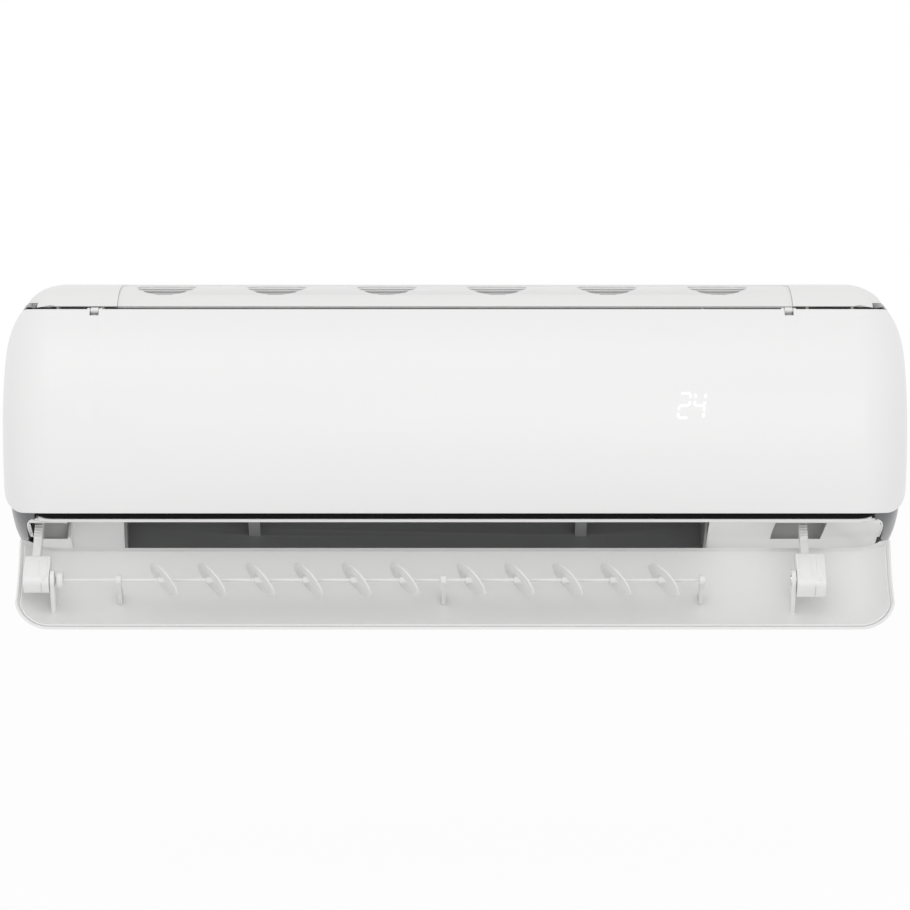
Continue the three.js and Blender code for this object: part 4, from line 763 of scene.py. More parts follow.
def sampled(line: Sequence[Section], start: Section, end: Section, measure: Callable[[Section], float],
            count: int) -> list[Section]:
    """Gives evenly spaced points on a line between two of its points.

    Args:
        line: the line, along which the measure falls.
        start: first point.
        end: last point.
        measure: gives a number for a point.
        count: how many points to give.

    Returns:
        The points, the first and last being start and end.
    """
    kept = [start] + [p for p in line if measure(start) > measure(p) > measure(end)] + [end]
    lengths = [0.0]
    for a, b in zip(kept, kept[1:]):
        lengths.append(lengths[-1] + math.dist(a, b))
    made = []
    index = 0
    for step in range(count):
        target = lengths[-1] * step / (count - 1)
        while index < len(lengths) - 2 and lengths[index + 1] < target:
            index += 1
        span = lengths[index + 1] - lengths[index]
        made.append(between(kept[index], kept[index + 1], 0.0 if span == 0 else (target - lengths[index]) / span))
    return made


def sheet_of(name: str, columns: Sequence[Sequence[Vector]], thickness: float, rim: float) -> Piece:
    """Makes a moulded sheet from a net of points.

    Args:
        name: the object's name.
        columns: columns of points in millimetres, all of one length.
        thickness: wall thickness in millimetres, laid on the inner side.
        rim: radius of the rounded rim.

    Returns:
        The sheet.
    """
    across, down = len(columns), len(columns[0])
    clear_selection()
    bpy.ops.mesh.primitive_grid_add(x_subdivisions=across - 1, y_subdivisions=down - 1, size=1)
    piece = bpy.context.object
    piece.name = name
    order = sorted(piece.data.vertices, key=lambda v: (round(v.co.x, 5), round(v.co.y, 5)))
    for place, vertex in enumerate(order):
        vertex.co = columns[place // down][place % down] * MM
    face_outwards(piece)
    if sum(face.normal.y for face in piece.data.polygons) > 0:
        with editing(piece):
            bpy.ops.mesh.flip_normals()
    modify(piece, "SOLIDIFY", thickness=thickness * MM, offset=-1.0, use_even_offset=True, use_quality_normals=True)
    rounded(piece, rim, 3, 50)
    return piece


@dataclass(frozen=True)
class OpenPose:
    """Turns a point of the shut flap to where the photograph has it.

    Attributes:
        shut: the tilt axis with the flap shut.
        opened: the tilt axis with the arms run out.
        tilt: the flap's turn in degrees.
    """

    shut: Section = (121.7, -83.6)
    opened: Section = PIVOT
    tilt: float = 77.7

    def matrix(self) -> Matrix:
        """Gives the turn for a mesh in metres.

        Returns:
            The turn from shut to open.
        """
        back = Matrix.Translation((0, self.shut[0] * MM, -self.shut[1] * MM))
        out = Matrix.Translation((0, -self.opened[0] * MM, self.opened[1] * MM))
        return out @ Matrix.Rotation(math.radians(self.tilt), 4, "X") @ back


@dataclass(frozen=True)
class FrontPanel:
    """Curved front cover with rounded corners, wrapped round both ends.

    Attributes:
        form: the outer form that it follows.
        top: height of its upper edge.
        bottom: height of its lower edge.
        top_corner: corner radius above.
        bottom_corner: corner radius below.
        top_reach: where the upper corners end along X.
        bottom_reach: where the lower corners end.
        wrap: from here outwards a column starts at the back edge.
        rim_wrap: from here outwards a column ends on the side rim.
        back: depth that it wraps back to.
        skin: wall thickness.
        rows: points in a column.
        notches: places of the hinge notches along X.
        notch_half: half a notch's width.
        notch_foot: height of a notch's lower edge.
        notch_cuts: places of the columns at a notch's sides, from its middle.
        notch_clear: other columns stay farther from its middle than this.
        brow: a wrapped column's start is looked for above this height.
        brow_fall: how far that height has fallen at an end.
    """

    form: Pillow = Pillow()
    top: float = 112.4
    bottom: float = -77.3
    top_corner: float = 14.0
    bottom_corner: float = 20.0
    top_reach: float = 415.0
    bottom_reach: float = 422.0
    wrap: float = 414.9
    rim_wrap: float = 414.8
    back: float = 110.0
    skin: float = 2.5
    rows: int = 64
    notches: tuple[float, float] = (-337.0, 312.0)
    notch_half: float = 4.22
    notch_foot: float = 106.6
    notch_cuts: tuple[float, ...] = (-4.25, -4.2, 4.2, 4.25)
    notch_clear: float = 6.0
    brow: float = 5.0
    brow_fall: float = 40.0

    def edge(self, x: float, upper: bool) -> float:
        """Gives the height of an edge.

        Args:
            x: place along X, within the corners' reach.
            upper: the upper edge, or else the lower one.

        Returns:
            The height in millimetres.
        """
        limit, corner, reach, side = ((self.top, self.top_corner, self.top_reach, 1) if upper
                                      else (self.bottom, self.bottom_corner, self.bottom_reach, -1))
        past = abs(x) - (reach - corner)
        return limit if past <= 0 else limit - side * (corner - math.sqrt(corner ** 2 - past ** 2))

    def places(self) -> list[float]:
        """Gives the columns' places, close together where the outline or the form turns.

        Returns:
            The places along X, from left to right.
        """
        found = {self.form.start * step / 16 for step in range(17)}
        for start, radius, stride in ((self.form.start, self.form.half - self.form.start, 3),
                                      (self.top_reach - self.top_corner, self.top_corner, 9),
                                      (self.bottom_reach - self.bottom_corner, self.bottom_corner, 9)):
            found |= {start + radius * math.sin(math.radians(turn)) for turn in range(0, 91, stride)}
        both = sorted({round(side * x, 3) for x in found for side in (-1, 1)})
        for middle in self.notches:
            both = [x for x in both if abs(x - middle) > self.notch_clear]
            both += [middle + offset for offset in self.notch_cuts]
        return sorted(both)

    def side_rim(self) -> list[Section]:
        """Gives the rounded lower edge of the part wrapped round an end, from front to back."""
        return chained((((143.3, -72.6), (131, -66.3), (self.back, -52), (self.back, -20)), 40))

    def column(self, x: float) -> list[Vector]:
        """Gives a column of surface points between the panel's edges.

        Args:
            x: place along X.

        Returns:
            The points from top to bottom.
        """
        line = self.form.column(x)
        notched = any(abs(x - middle) < self.notch_half for middle in self.notches)
        upper = min(self.edge(min(abs(x), self.wrap), True), self.notch_foot if notched else self.top)
        start = cross(line, height_of, upper)
        if start[0] < self.back or abs(x) > self.wrap:
            brow = [p for p in line if p[1] > self.brow - self.brow_fall * self.form.shrink(x)]
            start = cross(brow, lambda p: -p[0], -self.back)
        if abs(x) > self.rim_wrap:
            rim = self.side_rim()
            end = cross(line, lambda q: q[1] - cross(rim, lambda r: r[0], q[0])[1], 0.0)
        else:
            end = cross(line, height_of, self.edge(x, False))
        return [Vector((x, -d, z)) for d, z in sampled(line, start, end, height_of, self.rows)]

    def wrapped(self, column: Sequence[Vector]) -> list[list[Vector]]:
        """Carries an end's column straight back to the side rim.

        Args:
            column: the panel's first or last column.

        Returns:
            Three further columns, the last one on the rim.
        """
        rim = self.side_rim()
        backs = [cross(rim, lambda q: -q[1], -p.z)[0] for p in column]
        return [[Vector((p.x, p.y - (depth + p.y) * share, p.z)) for p, depth in zip(column, backs)]
                for share in (0.3, 0.65, 1.0)]

    def build(self) -> None:
        """Builds the panel with its hinge pins and their bosses."""
        columns = [self.column(x) for x in self.places()]
        columns = self.wrapped(columns[0])[::-1] + columns + self.wrapped(columns[-1])
        parts = [sheet_of("front_panel_fine", columns, self.skin, 0.7)]
        # A pin through each notch and a boss on either side: radius, start, stop and edge radius.
        for middle in self.notches:
            for radius, start, stop, edge in ((1.5, -6, 6, 0.3), (2.9, -7, -4.3, 0.4), (2.9, 4.3, 7, 0.4)):
                parts.append(rod_x(radius, middle + start, middle + stop, HINGE, 32, edge))
        deliver(united("front_panel_fine", parts), "panel", Finishes.PANEL, 40, "front_panel")


@dataclass(frozen=True)
class FlapSheet:
    """One skin of the outlet flap, drawn shut.

    Attributes:
        name: the object's name.
        form: the surface that it follows.
        skin: wall thickness.
        shrink: how far its outline lies inside the flap's.
        back: depth at which it ends when shut.
        half: half the flap's width.
        corner: radius of its front corners.
        length: the flap's length back along its chord.
        front: the chord's front end.
        chord: the chord's direction, back and down.
    """

    name: str
    form: Pillow
    skin: float
    shrink: float
    back: float
    half: float = 408.0
    corner: float = 31.0
    length: float = 102.0
    front: Section = (168.0, -80.0)
    chord: Section = (84.0, 54.0)

    def along(self, point: Section) -> float:
        """Gives a point's distance back along the flap's chord."""
        return ((self.front[0] - point[0]) * self.chord[0]
                + (self.front[1] - point[1]) * self.chord[1]) / math.hypot(*self.chord)

    def fall(self, point: Section) -> float:
        """Gives a measure that falls along the skin's line."""
        return -self.along(point)

    def build(self) -> Piece:
        """Builds the skin in its shut place.

        Returns:
            The skin.
        """
        radius = self.corner - self.shrink
        flat = self.half - self.shrink - radius
        places = {flat * step / 24 for step in range(25)}
        places |= {flat + radius * math.sin(math.radians(turn)) for turn in range(0, 91, 4)}
        columns = []
        for x in sorted({round(side * x, 3) for x in places for side in (-1, 1)}):
            line = [p for p in self.form.column(x) if p[1] < -40]
            past = abs(x) - flat
            lead = self.shrink + (radius - math.sqrt(max(0.0, radius ** 2 - past ** 2)) if past > 0 else 0.0)
            start = cross(line, self.fall, -lead)
            end = cross(line, self.fall, -(self.length - self.shrink))
            if end[0] < self.back:
                end = cross(line, lambda p: p[0], self.back)
            columns.append([Vector((x, -d, z)) for d, z in sampled(line, start, end, self.fall, 48)])
        return sheet_of(self.name, columns, self.skin, 0.5)


# ------------------------------------------------------------------ copies of the solids, refined
# Where the solids' rounded ends were cut, as shares of their reach, and where the copies are cut again.
STATIONS = (0.0, 0.45, 0.75, 0.94, 1.0)
CUTS = (0.12, 0.23, 0.34, 0.53, 0.6, 0.68, 0.8, 0.85, 0.9, 0.955, 0.97, 0.982, 0.992)
# Heights at which a solid meets its neighbour, which stay as they are.
SEAM_LEVELS = (118.0, 118.3, 112.0)
# The move in depth grows over this span in front of this depth, so that the seam behind it stays.
STILL_DEPTH = 63
EASED_SPAN = 15
SMOOTH_DEGREES = 34.0


def eased(piece: Piece, form: Pillow) -> None:
    """Cuts a solid's rounded ends more finely and moves the cuts onto the true curve.

    Args:
        piece: a copy of a solid.
        form: the form that the solid follows.
    """
    reach = form.half - form.start
    for side in (-1, 1):
        for turn in CUTS:
            with editing(piece):
                bpy.ops.mesh.bisect(plane_co=(side * (form.start + reach * turn) * MM, 0, 0), plane_no=(1, 0, 0))
    marks = [1 - math.sqrt(1 - turn * turn) for turn in STATIONS]
    centre = form.centre_z * MM
    for vertex in piece.data.vertices:
        turn = (abs(vertex.co.x) / MM - form.start) / reach
        if not 0 < turn < 1:
            continue
        index = max(k for k in range(4) if STATIONS[k] <= turn)
        share = (turn - STATIONS[index]) / (STATIONS[index + 1] - STATIONS[index])
        straight = marks[index] + (marks[index + 1] - marks[index]) * share
        curved = 1 - math.sqrt(1 - turn * turn)
        forward = min(1.0, max(0.0, (-vertex.co.y / MM - STILL_DEPTH) / EASED_SPAN))
        squeeze = (1 - form.shrink_depth * curved) / (1 - form.shrink_depth * straight)
        vertex.co.y *= 1 + (squeeze - 1) * forward
        if min(abs(vertex.co.z / MM - level) for level in SEAM_LEVELS) >= 0.05:
            stretch = (1 - form.shrink_z * curved) / (1 - form.shrink_z * straight)
            vertex.co.z = centre + (vertex.co.z - centre) * stretch


@dataclass(frozen=True)
class Refined:
    """A solid's shape, kept and finished as a moulding or a bent sheet.

    Attributes:
        node: the CAD node.
        body: the body that it rides on.
        finish: the finish that it gets.
        edge: edge radius in millimetres.
        form: the form that its ends follow, where they do.
    """

    node: str
    body: str
    finish: Finishes
    edge: float = 0.0
    form: Pillow | None = None

    def build(self) -> None:
        """Builds the piece and hands it over."""
        piece = softened(self.node)
        if self.form is not None:
            eased(piece, self.form)
        if self.edge > 0:
            rounded(piece, self.edge, 2, 36)
        deliver(piece, self.body, self.finish, SMOOTH_DEGREES, self.node)


# ------------------------------------------------------------------ sub-assemblies
@dataclass
class Casing:
    """Body of the unit: back shell, front frame, grille, end trims and wall plate.

    Attributes:
        form: the outer form of the mouldings.
        hollow: radius of the hollow that the panel's top corner swings through.
        hollow_start: where the hollow starts along X.
        hollow_limit: where it ends at the latest.
        hollow_top: its points lie no higher than this in the casing's middle section.
        cover: least depth of the casing in front of the hollow.
        stride: step of the search for the hollow's end.
    """

    form: Pillow = Pillow(half=420.0)
    hollow: float = 32.0
    hollow_start: float = 378.0
    hollow_limit: float = 419.0
    hollow_top: float = 135.0
    cover: float = 1.4
    stride: float = 0.25

    def hollow_end(self, point: Section) -> float:
        """Finds how far out along X a point of the hollow stays inside the casing.

        Args:
            point: its depth and height.

        Returns:
            The place along X.
        """
        line = chained((((62, 136), (98, 136), (121, 127), (136.6, 114)), 24),
                       (((136.6, 106), (150, 92), (171, 60), (171, 5)), 30))
        x = self.hollow_start
        while x < self.hollow_limit:
            amount = self.form.shrink(x)
            depth = point[0] / (1 - self.form.shrink_depth * amount)
            z = self.form.centre_z + (point[1] - self.form.centre_z) / (1 - self.form.shrink_z * amount)
            if z > self.hollow_top or cross(line, height_of, z)[0] < depth + self.cover:
                break
            x += self.stride
        return x

    def lining(self, name: str, side: int) -> None:
        """Builds the hollow that the panel's top corner swings through.

        Args:
            name: the piece's name.
            side: -1 for the left end, 1 for the right.
        """
        turns = [math.radians(181 + 122 * step / 30) for step in range(31)]
        arc = [(HINGE[0] + self.hollow * math.cos(a), HINGE[1] + self.hollow * math.sin(a)) for a in turns]
        columns = []
        for depth, z in arc:
            run = self.hollow_end((depth, z)) - self.hollow_start
            columns.append([Vector((side * (self.hollow_start + run * step / 12), -depth, z)) for step in range(13)])
        # The cheek closes the hollow's inner end, from the arc up to just below the hinge.
        wall = arc + [(HINGE[0] + 14, HINGE[1] - 8), (HINGE[0] - 24, HINGE[1] - 2)]
        inner = self.hollow_start * side
        cheek = plate_x(wall, min(inner, inner - side), max(inner, inner - side))
        shell = sheet_of(name, columns, 1.2, 0.2)
        deliver(united(name, [shell, cheek]), "casing", Finishes.TRIM, SMOOTH_DEGREES)

    def build(self) -> None:
        """Builds every moulding of the casing."""
        self.lining("left_corner_lining", -1)
        self.lining("right_corner_lining", 1)
        for node, finish, edge, form in (
            ("rear_casing", Finishes.CASING, 0.4, self.form),
            ("front_frame", Finishes.CASING, 0.0, self.form),
            ("top_grille", Finishes.CASING, 0.25, None),
            ("left_side_trim", Finishes.TRIM, 0.3, self.form),
            ("right_side_trim", Finishes.TRIM, 0.3, self.form),
            ("wall_plate", Finishes.ZINC, 0.25, None),
        ):
            Refined(node, "casing", finish, edge, form).build()


@dataclass
class Outlet:
    """The air outlet: its end panels, dark duct, glossy strip and bead.

    Attributes:
        edge: edge radius of the end panels.
        frame_edge: edge radius of the outlet frame.
        wall: thickness of the walls behind the arms' slots.
        back: depth of a pocket's back wall.
        low: height of a pocket's foot.
        high: height of its top.
        strut_half: half the width of the zone that holds a strut.
        struts: places of the duct's struts along X.
        strut_depth: the struts' front faces, which get painted shade, lie in front of this depth.
        strut_area: they are smaller than this, in square metres.
        bead: radius of the bead's curled ends.
    """

    edge: float = 0.5
    frame_edge: float = 0.3
    wall: float = 1.0
    back: float = 92.5
    low: float = -112.0
    high: float = -79.0
    strut_half: float = 6.2
    struts: tuple[float, float] = (-190.9, 119.85)
    strut_depth: float = 120.0
    strut_area: float = 0.002
    bead: float = 0.9

    def pocket(self, x0: float, x1: float, sides: Sequence[float]) -> list[Piece]:
        """Builds the walls behind an arm's slot.

        Args:
            x0: left end of the back wall.
            x1: right end.
            sides: where a side wall starts along X.

        Returns:
            The walls, which stand on the end panel's sloping face.
        """
        front = self.back + self.wall
        rear = [(self.back, self.low), (front, self.low + 0.5), (front, self.high), (self.back, self.high)]
        flank = [(self.back, self.low), (150, -87.0), (141, -79.5), (self.back, self.high)]
        walls = [plate_x(rear, x0, x1)] + [plate_x(flank, x, x + self.wall) for x in sides]
        for piece in walls:
            rounded(piece, 0.25, 2, 40)
        return walls

    def curl(self, side: int) -> Piece:
        """Builds the bead's end, which turns down beside the end panel.

        Args:
            side: -1 for the left end, 1 for the right.

        Returns:
            The end as a mesh.
        """
        path = [(386.5, 155.0, -82.8), (391.0, 153.2, -83.2), (395.0, 151.6, -84.0), (397.6, 149.5, -86.0),
                (398.8, 147.0, -88.2), (399.1, 143.5, -90.6), (399.2, 138.0, -93.0), (399.2, 124.0, -99.0)]
        clear_selection()
        bpy.ops.curve.primitive_nurbs_path_add()
        curve = bpy.context.object.data
        spline = curve.splines[0]
        spline.points.add(len(path) - len(spline.points))
        for point, (x, depth, z) in zip(spline.points, path):
            point.co = (side * x * MM, -depth * MM, z * MM, 1)
        spline.use_endpoint_u = True
        spline.order_u = 4
        spline.resolution_u = 8
        curve.bevel_depth = self.bead * MM
        curve.bevel_resolution = 4
        curve.use_fill_caps = True
        bpy.ops.object.convert(target="MESH")
        piece = bpy.context.object
        face_outwards(piece)
        return piece

    def extended(self, node: str, edge: float, extras: Sequence[Piece]) -> None:
        """Refines a solid and joins further mouldings to it.

        Args:
            node: the CAD node.
            edge: the solid's edge radius.
            extras: the further mouldings.
        """
        piece = united(node + "_fine", [softened(node, edge), *extras])
        deliver(piece, "casing", Finishes.CASING, SMOOTH_DEGREES, node)

    def duct(self) -> None:
        """Refines the duct and paints shade on its struts' front faces with a darker grey."""
        piece = softened("air_duct", 0.4)
        deliver(piece, "casing", Finishes.DUCT, SMOOTH_DEGREES, "air_duct")
        piece.data.materials.append(Finishes.STRUT.value.material())
        # Painted shade on the struts' small front faces.
        for face in piece.data.polygons:
            near = min(abs(face.center.x / MM - x) for x in self.struts)
            if near < self.strut_half and -face.center.y / MM > self.strut_depth and face.area < self.strut_area:
                face.material_index = 1

    def build(self) -> None:
        """Builds the outlet's fixed pieces."""
        cheek = [(146.5, -89.3), (118, -101.5), (117.2, -99.7), (145.7, -87.5)]
        left = self.pocket(-396.5, -364.3, []) + [plate_x(cheek, -399.4, -396.6)]
        right = self.pocket(296.2, 349.0, [296.2, 348.0]) + [plate_x(cheek, 396.6, 399.4)]
        self.extended("left_end_panel", self.edge, left)
        self.extended("right_end_panel", self.edge, right)
        self.extended("outlet_frame", self.frame_edge, [self.curl(-1), self.curl(1)])
        self.duct()
        Refined("lower_strip", "casing", Finishes.STRIP, 0.3).build()


@dataclass
class Readout:
    """Set temperature shown through the panel as two leaning digits.

    Attributes:
        lit: which bars are lit in each digit, clockwise from the top, the middle one last.
        lefts: each digit's left edge along X.
        width: width of a digit.
        low: lower edge.
        height: height of a digit.
        bar: thickness of a bar.
        gap: how far a bar's tip stays from its corner.
        thick: how thick the digits are.
        lift: how far they stand off the skin.
        lean: how far the top leans to the right for each millimetre of height.
    """

    lit: tuple[str, str] = ("abged", "fgbc")
    lefts: tuple[float, float] = (206.0, 220.0)
    width: float = 9.4
    low: float = 11.6
    height: float = 22.6
    bar: float = 2.1
    gap: float = 0.35
    thick: float = 0.35
    lift: float = 0.05
    lean: float = 0.12

    def bars(self) -> dict[str, tuple[Section, Section]]:
        """Gives both ends of each bar.

        Returns:
            For each bar's letter, its ends from the digit's lower left corner.
        """
        right, top, middle = self.width, self.height, self.height / 2
        return {"a": ((0, top), (right, top)), "b": ((right, top), (right, middle)),
                "c": ((right, middle), (right, 0)), "d": ((0, 0), (right, 0)), "e": ((0, 0), (0, middle)),
                "f": ((0, middle), (0, top)), "g": ((0, middle), (right, middle))}

    def segment(self, left: float, start: Section, end: Section, form: Pillow) -> Piece:
        """Builds one pointed bar that lies on the panel's skin.

        Args:
            left: the digit's left edge along X.
            start: one end of the bar.
            end: the other end.
            form: the panel's form.

        Returns:
            The bar.
        """
        run = (Vector(end) - Vector(start)).normalized()
        across = Vector((-run.y, run.x)) * self.bar / 2
        a, b = Vector(start) + run * self.gap, Vector(end) - run * self.gap
        tip = run * self.bar / 2
        corners = (a, a + tip + across, b - tip + across, b, b - tip - across, a + tip - across)
        piece = slab([(left + c.x + self.lean * c.y, 0, self.low + c.y) for c in corners], (0, self.thick, 0))
        line = form.section()
        for vertex in piece.data.vertices:
            surface = cross(line, height_of, vertex.co.z / MM)[0]
            vertex.co.y += -(surface + self.lift) * MM
        face_outwards(piece)
        return piece

    def build(self, form: Pillow) -> None:
        """Builds both digits on the panel's skin.

        Args:
            form: the panel's form.
        """
        bars = self.bars()
        parts = [self.segment(left, *bars[name], form) for left, names in zip(self.lefts, self.lit) for name in names]
        piece = united("readout_digits", parts)
        rounded(piece, 0.04, 1, 50)
        deliver(piece, "panel", Finishes.DIGIT, 30)


@dataclass
class Flap:
    """The outlet's flap: outer skin, inner liner with its lugs, and the vanes' bearings.

    Attributes:
        pose: turns shut coordinates to the open flap.
        lugs: places of the lugs along X.
        lug_width: their thickness.
        bore: radius of a lug's bore.
        head: radius of a lug's round end.
        foot: depths between which a lug stands on the liner.
        foot_top: the liner's points there lie below this height.
    """

    pose: OpenPose = OpenPose()
    lugs: tuple[float, float] = (-372.8, 313.6)
    lug_width: float = 4.0
    bore: float = 4.3
    head: float = 9.2
    foot: tuple[float, float] = (128.0, 151.3)
    foot_top: float = -90.0

    def lug(self, x: float) -> Piece:
        """Builds one lug with its bore, shut.

        Args:
            x: its place along X.

        Returns:
            The lug.
        """
        depth, z = self.pose.shut
        half = self.lug_width / 2
        turns = [math.radians(205 - 15 * step) for step in range(13)]
        head = [(depth + self.head * math.cos(a), z + self.head * math.sin(a)) for a in turns]
        foot = [p for p in Pillow(inset=3.0).section()
                if self.foot[0] < p[0] < self.foot[1] and p[1] < self.foot_top]
        plate = plate_x(head + foot, x - half, x + half)
        drill = rod_x(self.bore, x - 8, x + 8, self.pose.shut, 40, 0.0)
        modify(plate, "BOOLEAN", object=drill, solver="EXACT")
        bpy.data.objects.remove(drill)
        rounded(plate, 0.35, 2, 50)
        return plate

    def skin(self, piece: Piece, node: str, slot: str = "") -> None:
        """Turns a skin from shut to open and hands it over.

        Args:
            piece: the skin, shut.
            node: the CAD node that it stands for.
            slot: the record's material slot, where it isn't the finish's own; not used.
        """
        piece.data.transform(self.pose.matrix())
        deliver(piece, "flap", Finishes.FLAP, 40, node)

    def build(self) -> None:
        """Builds the flap's two skins and its bearings."""
        self.skin(FlapSheet("flap_panel_fine", Pillow(), 2.2, 0.0, 78.0).build(), "flap_panel")
        sheet = FlapSheet("flap_liner_fine", Pillow(inset=2.5), 1.6, 4.0, 84.0).build()
        liner = united("flap_liner_fine", [sheet, *(self.lug(x) for x in self.lugs)])
        self.skin(liner, "flap_liner", "white_satin")
        for node in ("left_vane_bearing", "centre_vane_bearing", "right_vane_bearing", "left_tilt_bush"):
            Refined(node, "flap", Finishes.GEAR, 0.3).build()


@dataclass
class Vanes:
    """Row of slanted oval vanes on a shaft in the flap.

    Attributes:
        radius: a vane's radius before it slants.
        thickness: a vane's thickness.
        slant: slant in degrees.
        lean: turn of the whole row about its shaft at rest.
        pitch: distance between vanes.
        hub: radius of a vane's hub.
        hub_half: half its length.
        shaft: radius of the shaft.
        knob: radius of the thumb knob.
    """

    radius: float = 15.6
    thickness: float = 1.6
    slant: float = 40.0
    lean: float = -38.0
    pitch: float = 44.606
    hub: float = 3.2
    hub_half: float = 5.0
    shaft: float = 1.6
    knob: float = 7.5

    def vane(self, x: float) -> list[Piece]:
        """Builds one vane.

        Args:
            x: its place along X.

        Returns:
            The slanted disc with its rounded rim, and the hub that carries it.
        """
        tilt = math.tan(math.radians(self.slant))
        width = self.thickness / math.cos(math.radians(self.slant))
        disc = rod_x(self.radius, x - width / 2, x + width / 2, (0, 0), 64, 0.0)
        rounded(disc, 0.55, 3, 60)
        for vertex in disc.data.vertices:
            vertex.co.x -= tilt * vertex.co.z
        return [disc, rod_x(self.hub, x - self.hub_half, x + self.hub_half, (0, 0), 32, 0.6)]

    def row(self, node: str, first: float, count: int, extra: Sequence[Piece] = ()) -> None:
        """Builds one length of shaft with its vanes.

        Args:
            node: the CAD node, which gives the shaft's ends.
            first: the first vane's place along X.
            count: how many vanes it has.
            extra: further pieces on the shaft.
        """
        low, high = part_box(node)
        parts = [rod_x(self.shaft, low[0] / MM, high[0] / MM, (0, 0), 24, 0.2), *extra]
        for index in range(count):
            parts += self.vane(first + index * self.pitch)
        piece = united(node + "_fine", parts)
        turn = Matrix.Rotation(math.radians(self.lean), 4, "X")
        piece.data.transform(Matrix.Translation((0, -PIVOT[0] * MM, PIVOT[1] * MM)) @ turn)
        deliver(piece, "vanes", Finishes.GEAR, 38, node)

    def build(self) -> None:
        """Builds both rows, the left one with its thumb knob."""
        knob = rod_x(self.knob, -368.4, -363.0, (0, 0), 48, 0.5)
        self.row("left_vane_rod", -269.59, 6, [knob])
        self.row("right_vane_rod", 15.04, 5)


@dataclass
class FlapDrive:
    """Pushes the flap out: rack arms, pinions, guides, housings and motors on both sides.

    Attributes:
        angle: the arms' slope in degrees.
        sunk: how far a raised field reaches into its housing.
        raised: how far it stands out.
        screw_radius: radius of a screw head.
        screw_height: its height, half of which shows.
    """

    angle: float = -43.28
    sunk: float = 0.6
    raised: float = 0.5
    screw_radius: float = 1.9
    screw_height: float = 1.4

    def along(self, u: float, v: float) -> Section:
        """Gives the place of a point measured along and across the arms.

        Args:
            u: distance from the pivot along the arms.
            v: distance across them.

        Returns:
            The point's depth and height.
        """
        turn = math.radians(self.angle)
        return (PIVOT[0] + u * math.cos(turn) - v * math.sin(turn),
                PIVOT[1] + u * math.sin(turn) + v * math.cos(turn))

    def pad(self, x0: float, x1: float, u0: float, u1: float, face: float) -> Piece:
        """Builds a raised field on a housing's front face.

        Args:
            x0: left end.
            x1: right end.
            u0: rear end along the arm.
            u1: front end.
            face: half the housing's height.

        Returns:
            The field.
        """
        low, high = face - self.sunk, face + self.raised
        corners = ((u0, low), (u1, low), (u1, high), (u0, high))
        plate = plate_x([self.along(u, v) for u, v in corners], x0, x1)
        rounded(plate, 0.4, 3, 40)
        return plate

    def screw(self, x: float, u: float, face: float) -> Piece:
        """Builds a small plain screw head on a housing's front face.

        Args:
            x: its place along X.
            u: its place along the arm.
            face: half the housing's height.

        Returns:
            The screw head.
        """
        depth, z = self.along(u, face)
        place = (x * MM, -depth * MM, z * MM)
        head = cylinder(self.screw_radius, self.screw_height, place, (math.radians(-self.angle), 0, 0), 32)
        rounded(head, 0.35, 3, 50)
        return head

    def housing(self, side: str, fields: Sequence[tuple[float, float, float, float]], face: float,
                screw: Section) -> None:
        """Builds a housing with its raised fields and screw.

        Args:
            side: left or right.
            fields: x0, x1, u0 and u1 of each raised field.
            face: half the housing's height.
            screw: the screw's place along X and along the arm.
        """
        node = side + "_drive_housing"
        parts = [softened(node, 1.1, 3)] + [self.pad(*field, face) for field in fields] + [self.screw(*screw, face)]
        deliver(united(node + "_fine", parts), "arms", Finishes.CASING, SMOOTH_DEGREES, node)

    def build(self) -> None:
        """Builds both sides."""
        self.housing("left", [(-397.0, -384.6, -18, 4), (-382.6, -377.4, -18, 4)], 9.5, (-380.0, 6.8))
        self.housing("right", [(318.4, 330.4, -19, 7), (334.4, 340.6, -19, 7)], 11.0, (337.4, 9.6))
        for side in ("left", "right"):
            for node, body, finish, edge in (
                ("arm", "arms", Finishes.GEAR, 0.12),
                ("pinion", side + "_pinion", Finishes.GEAR, 0.1),
                ("arm_guide", "casing", Finishes.GUIDE, 0.25),
                ("arm_motor", "casing", Finishes.MOTOR, 0.3),
            ):
                Refined(f"{side}_{node}", body, finish, edge).build()
        Refined("right_tilt_shaft", "flap", Finishes.SHAFT, 0.2).build()


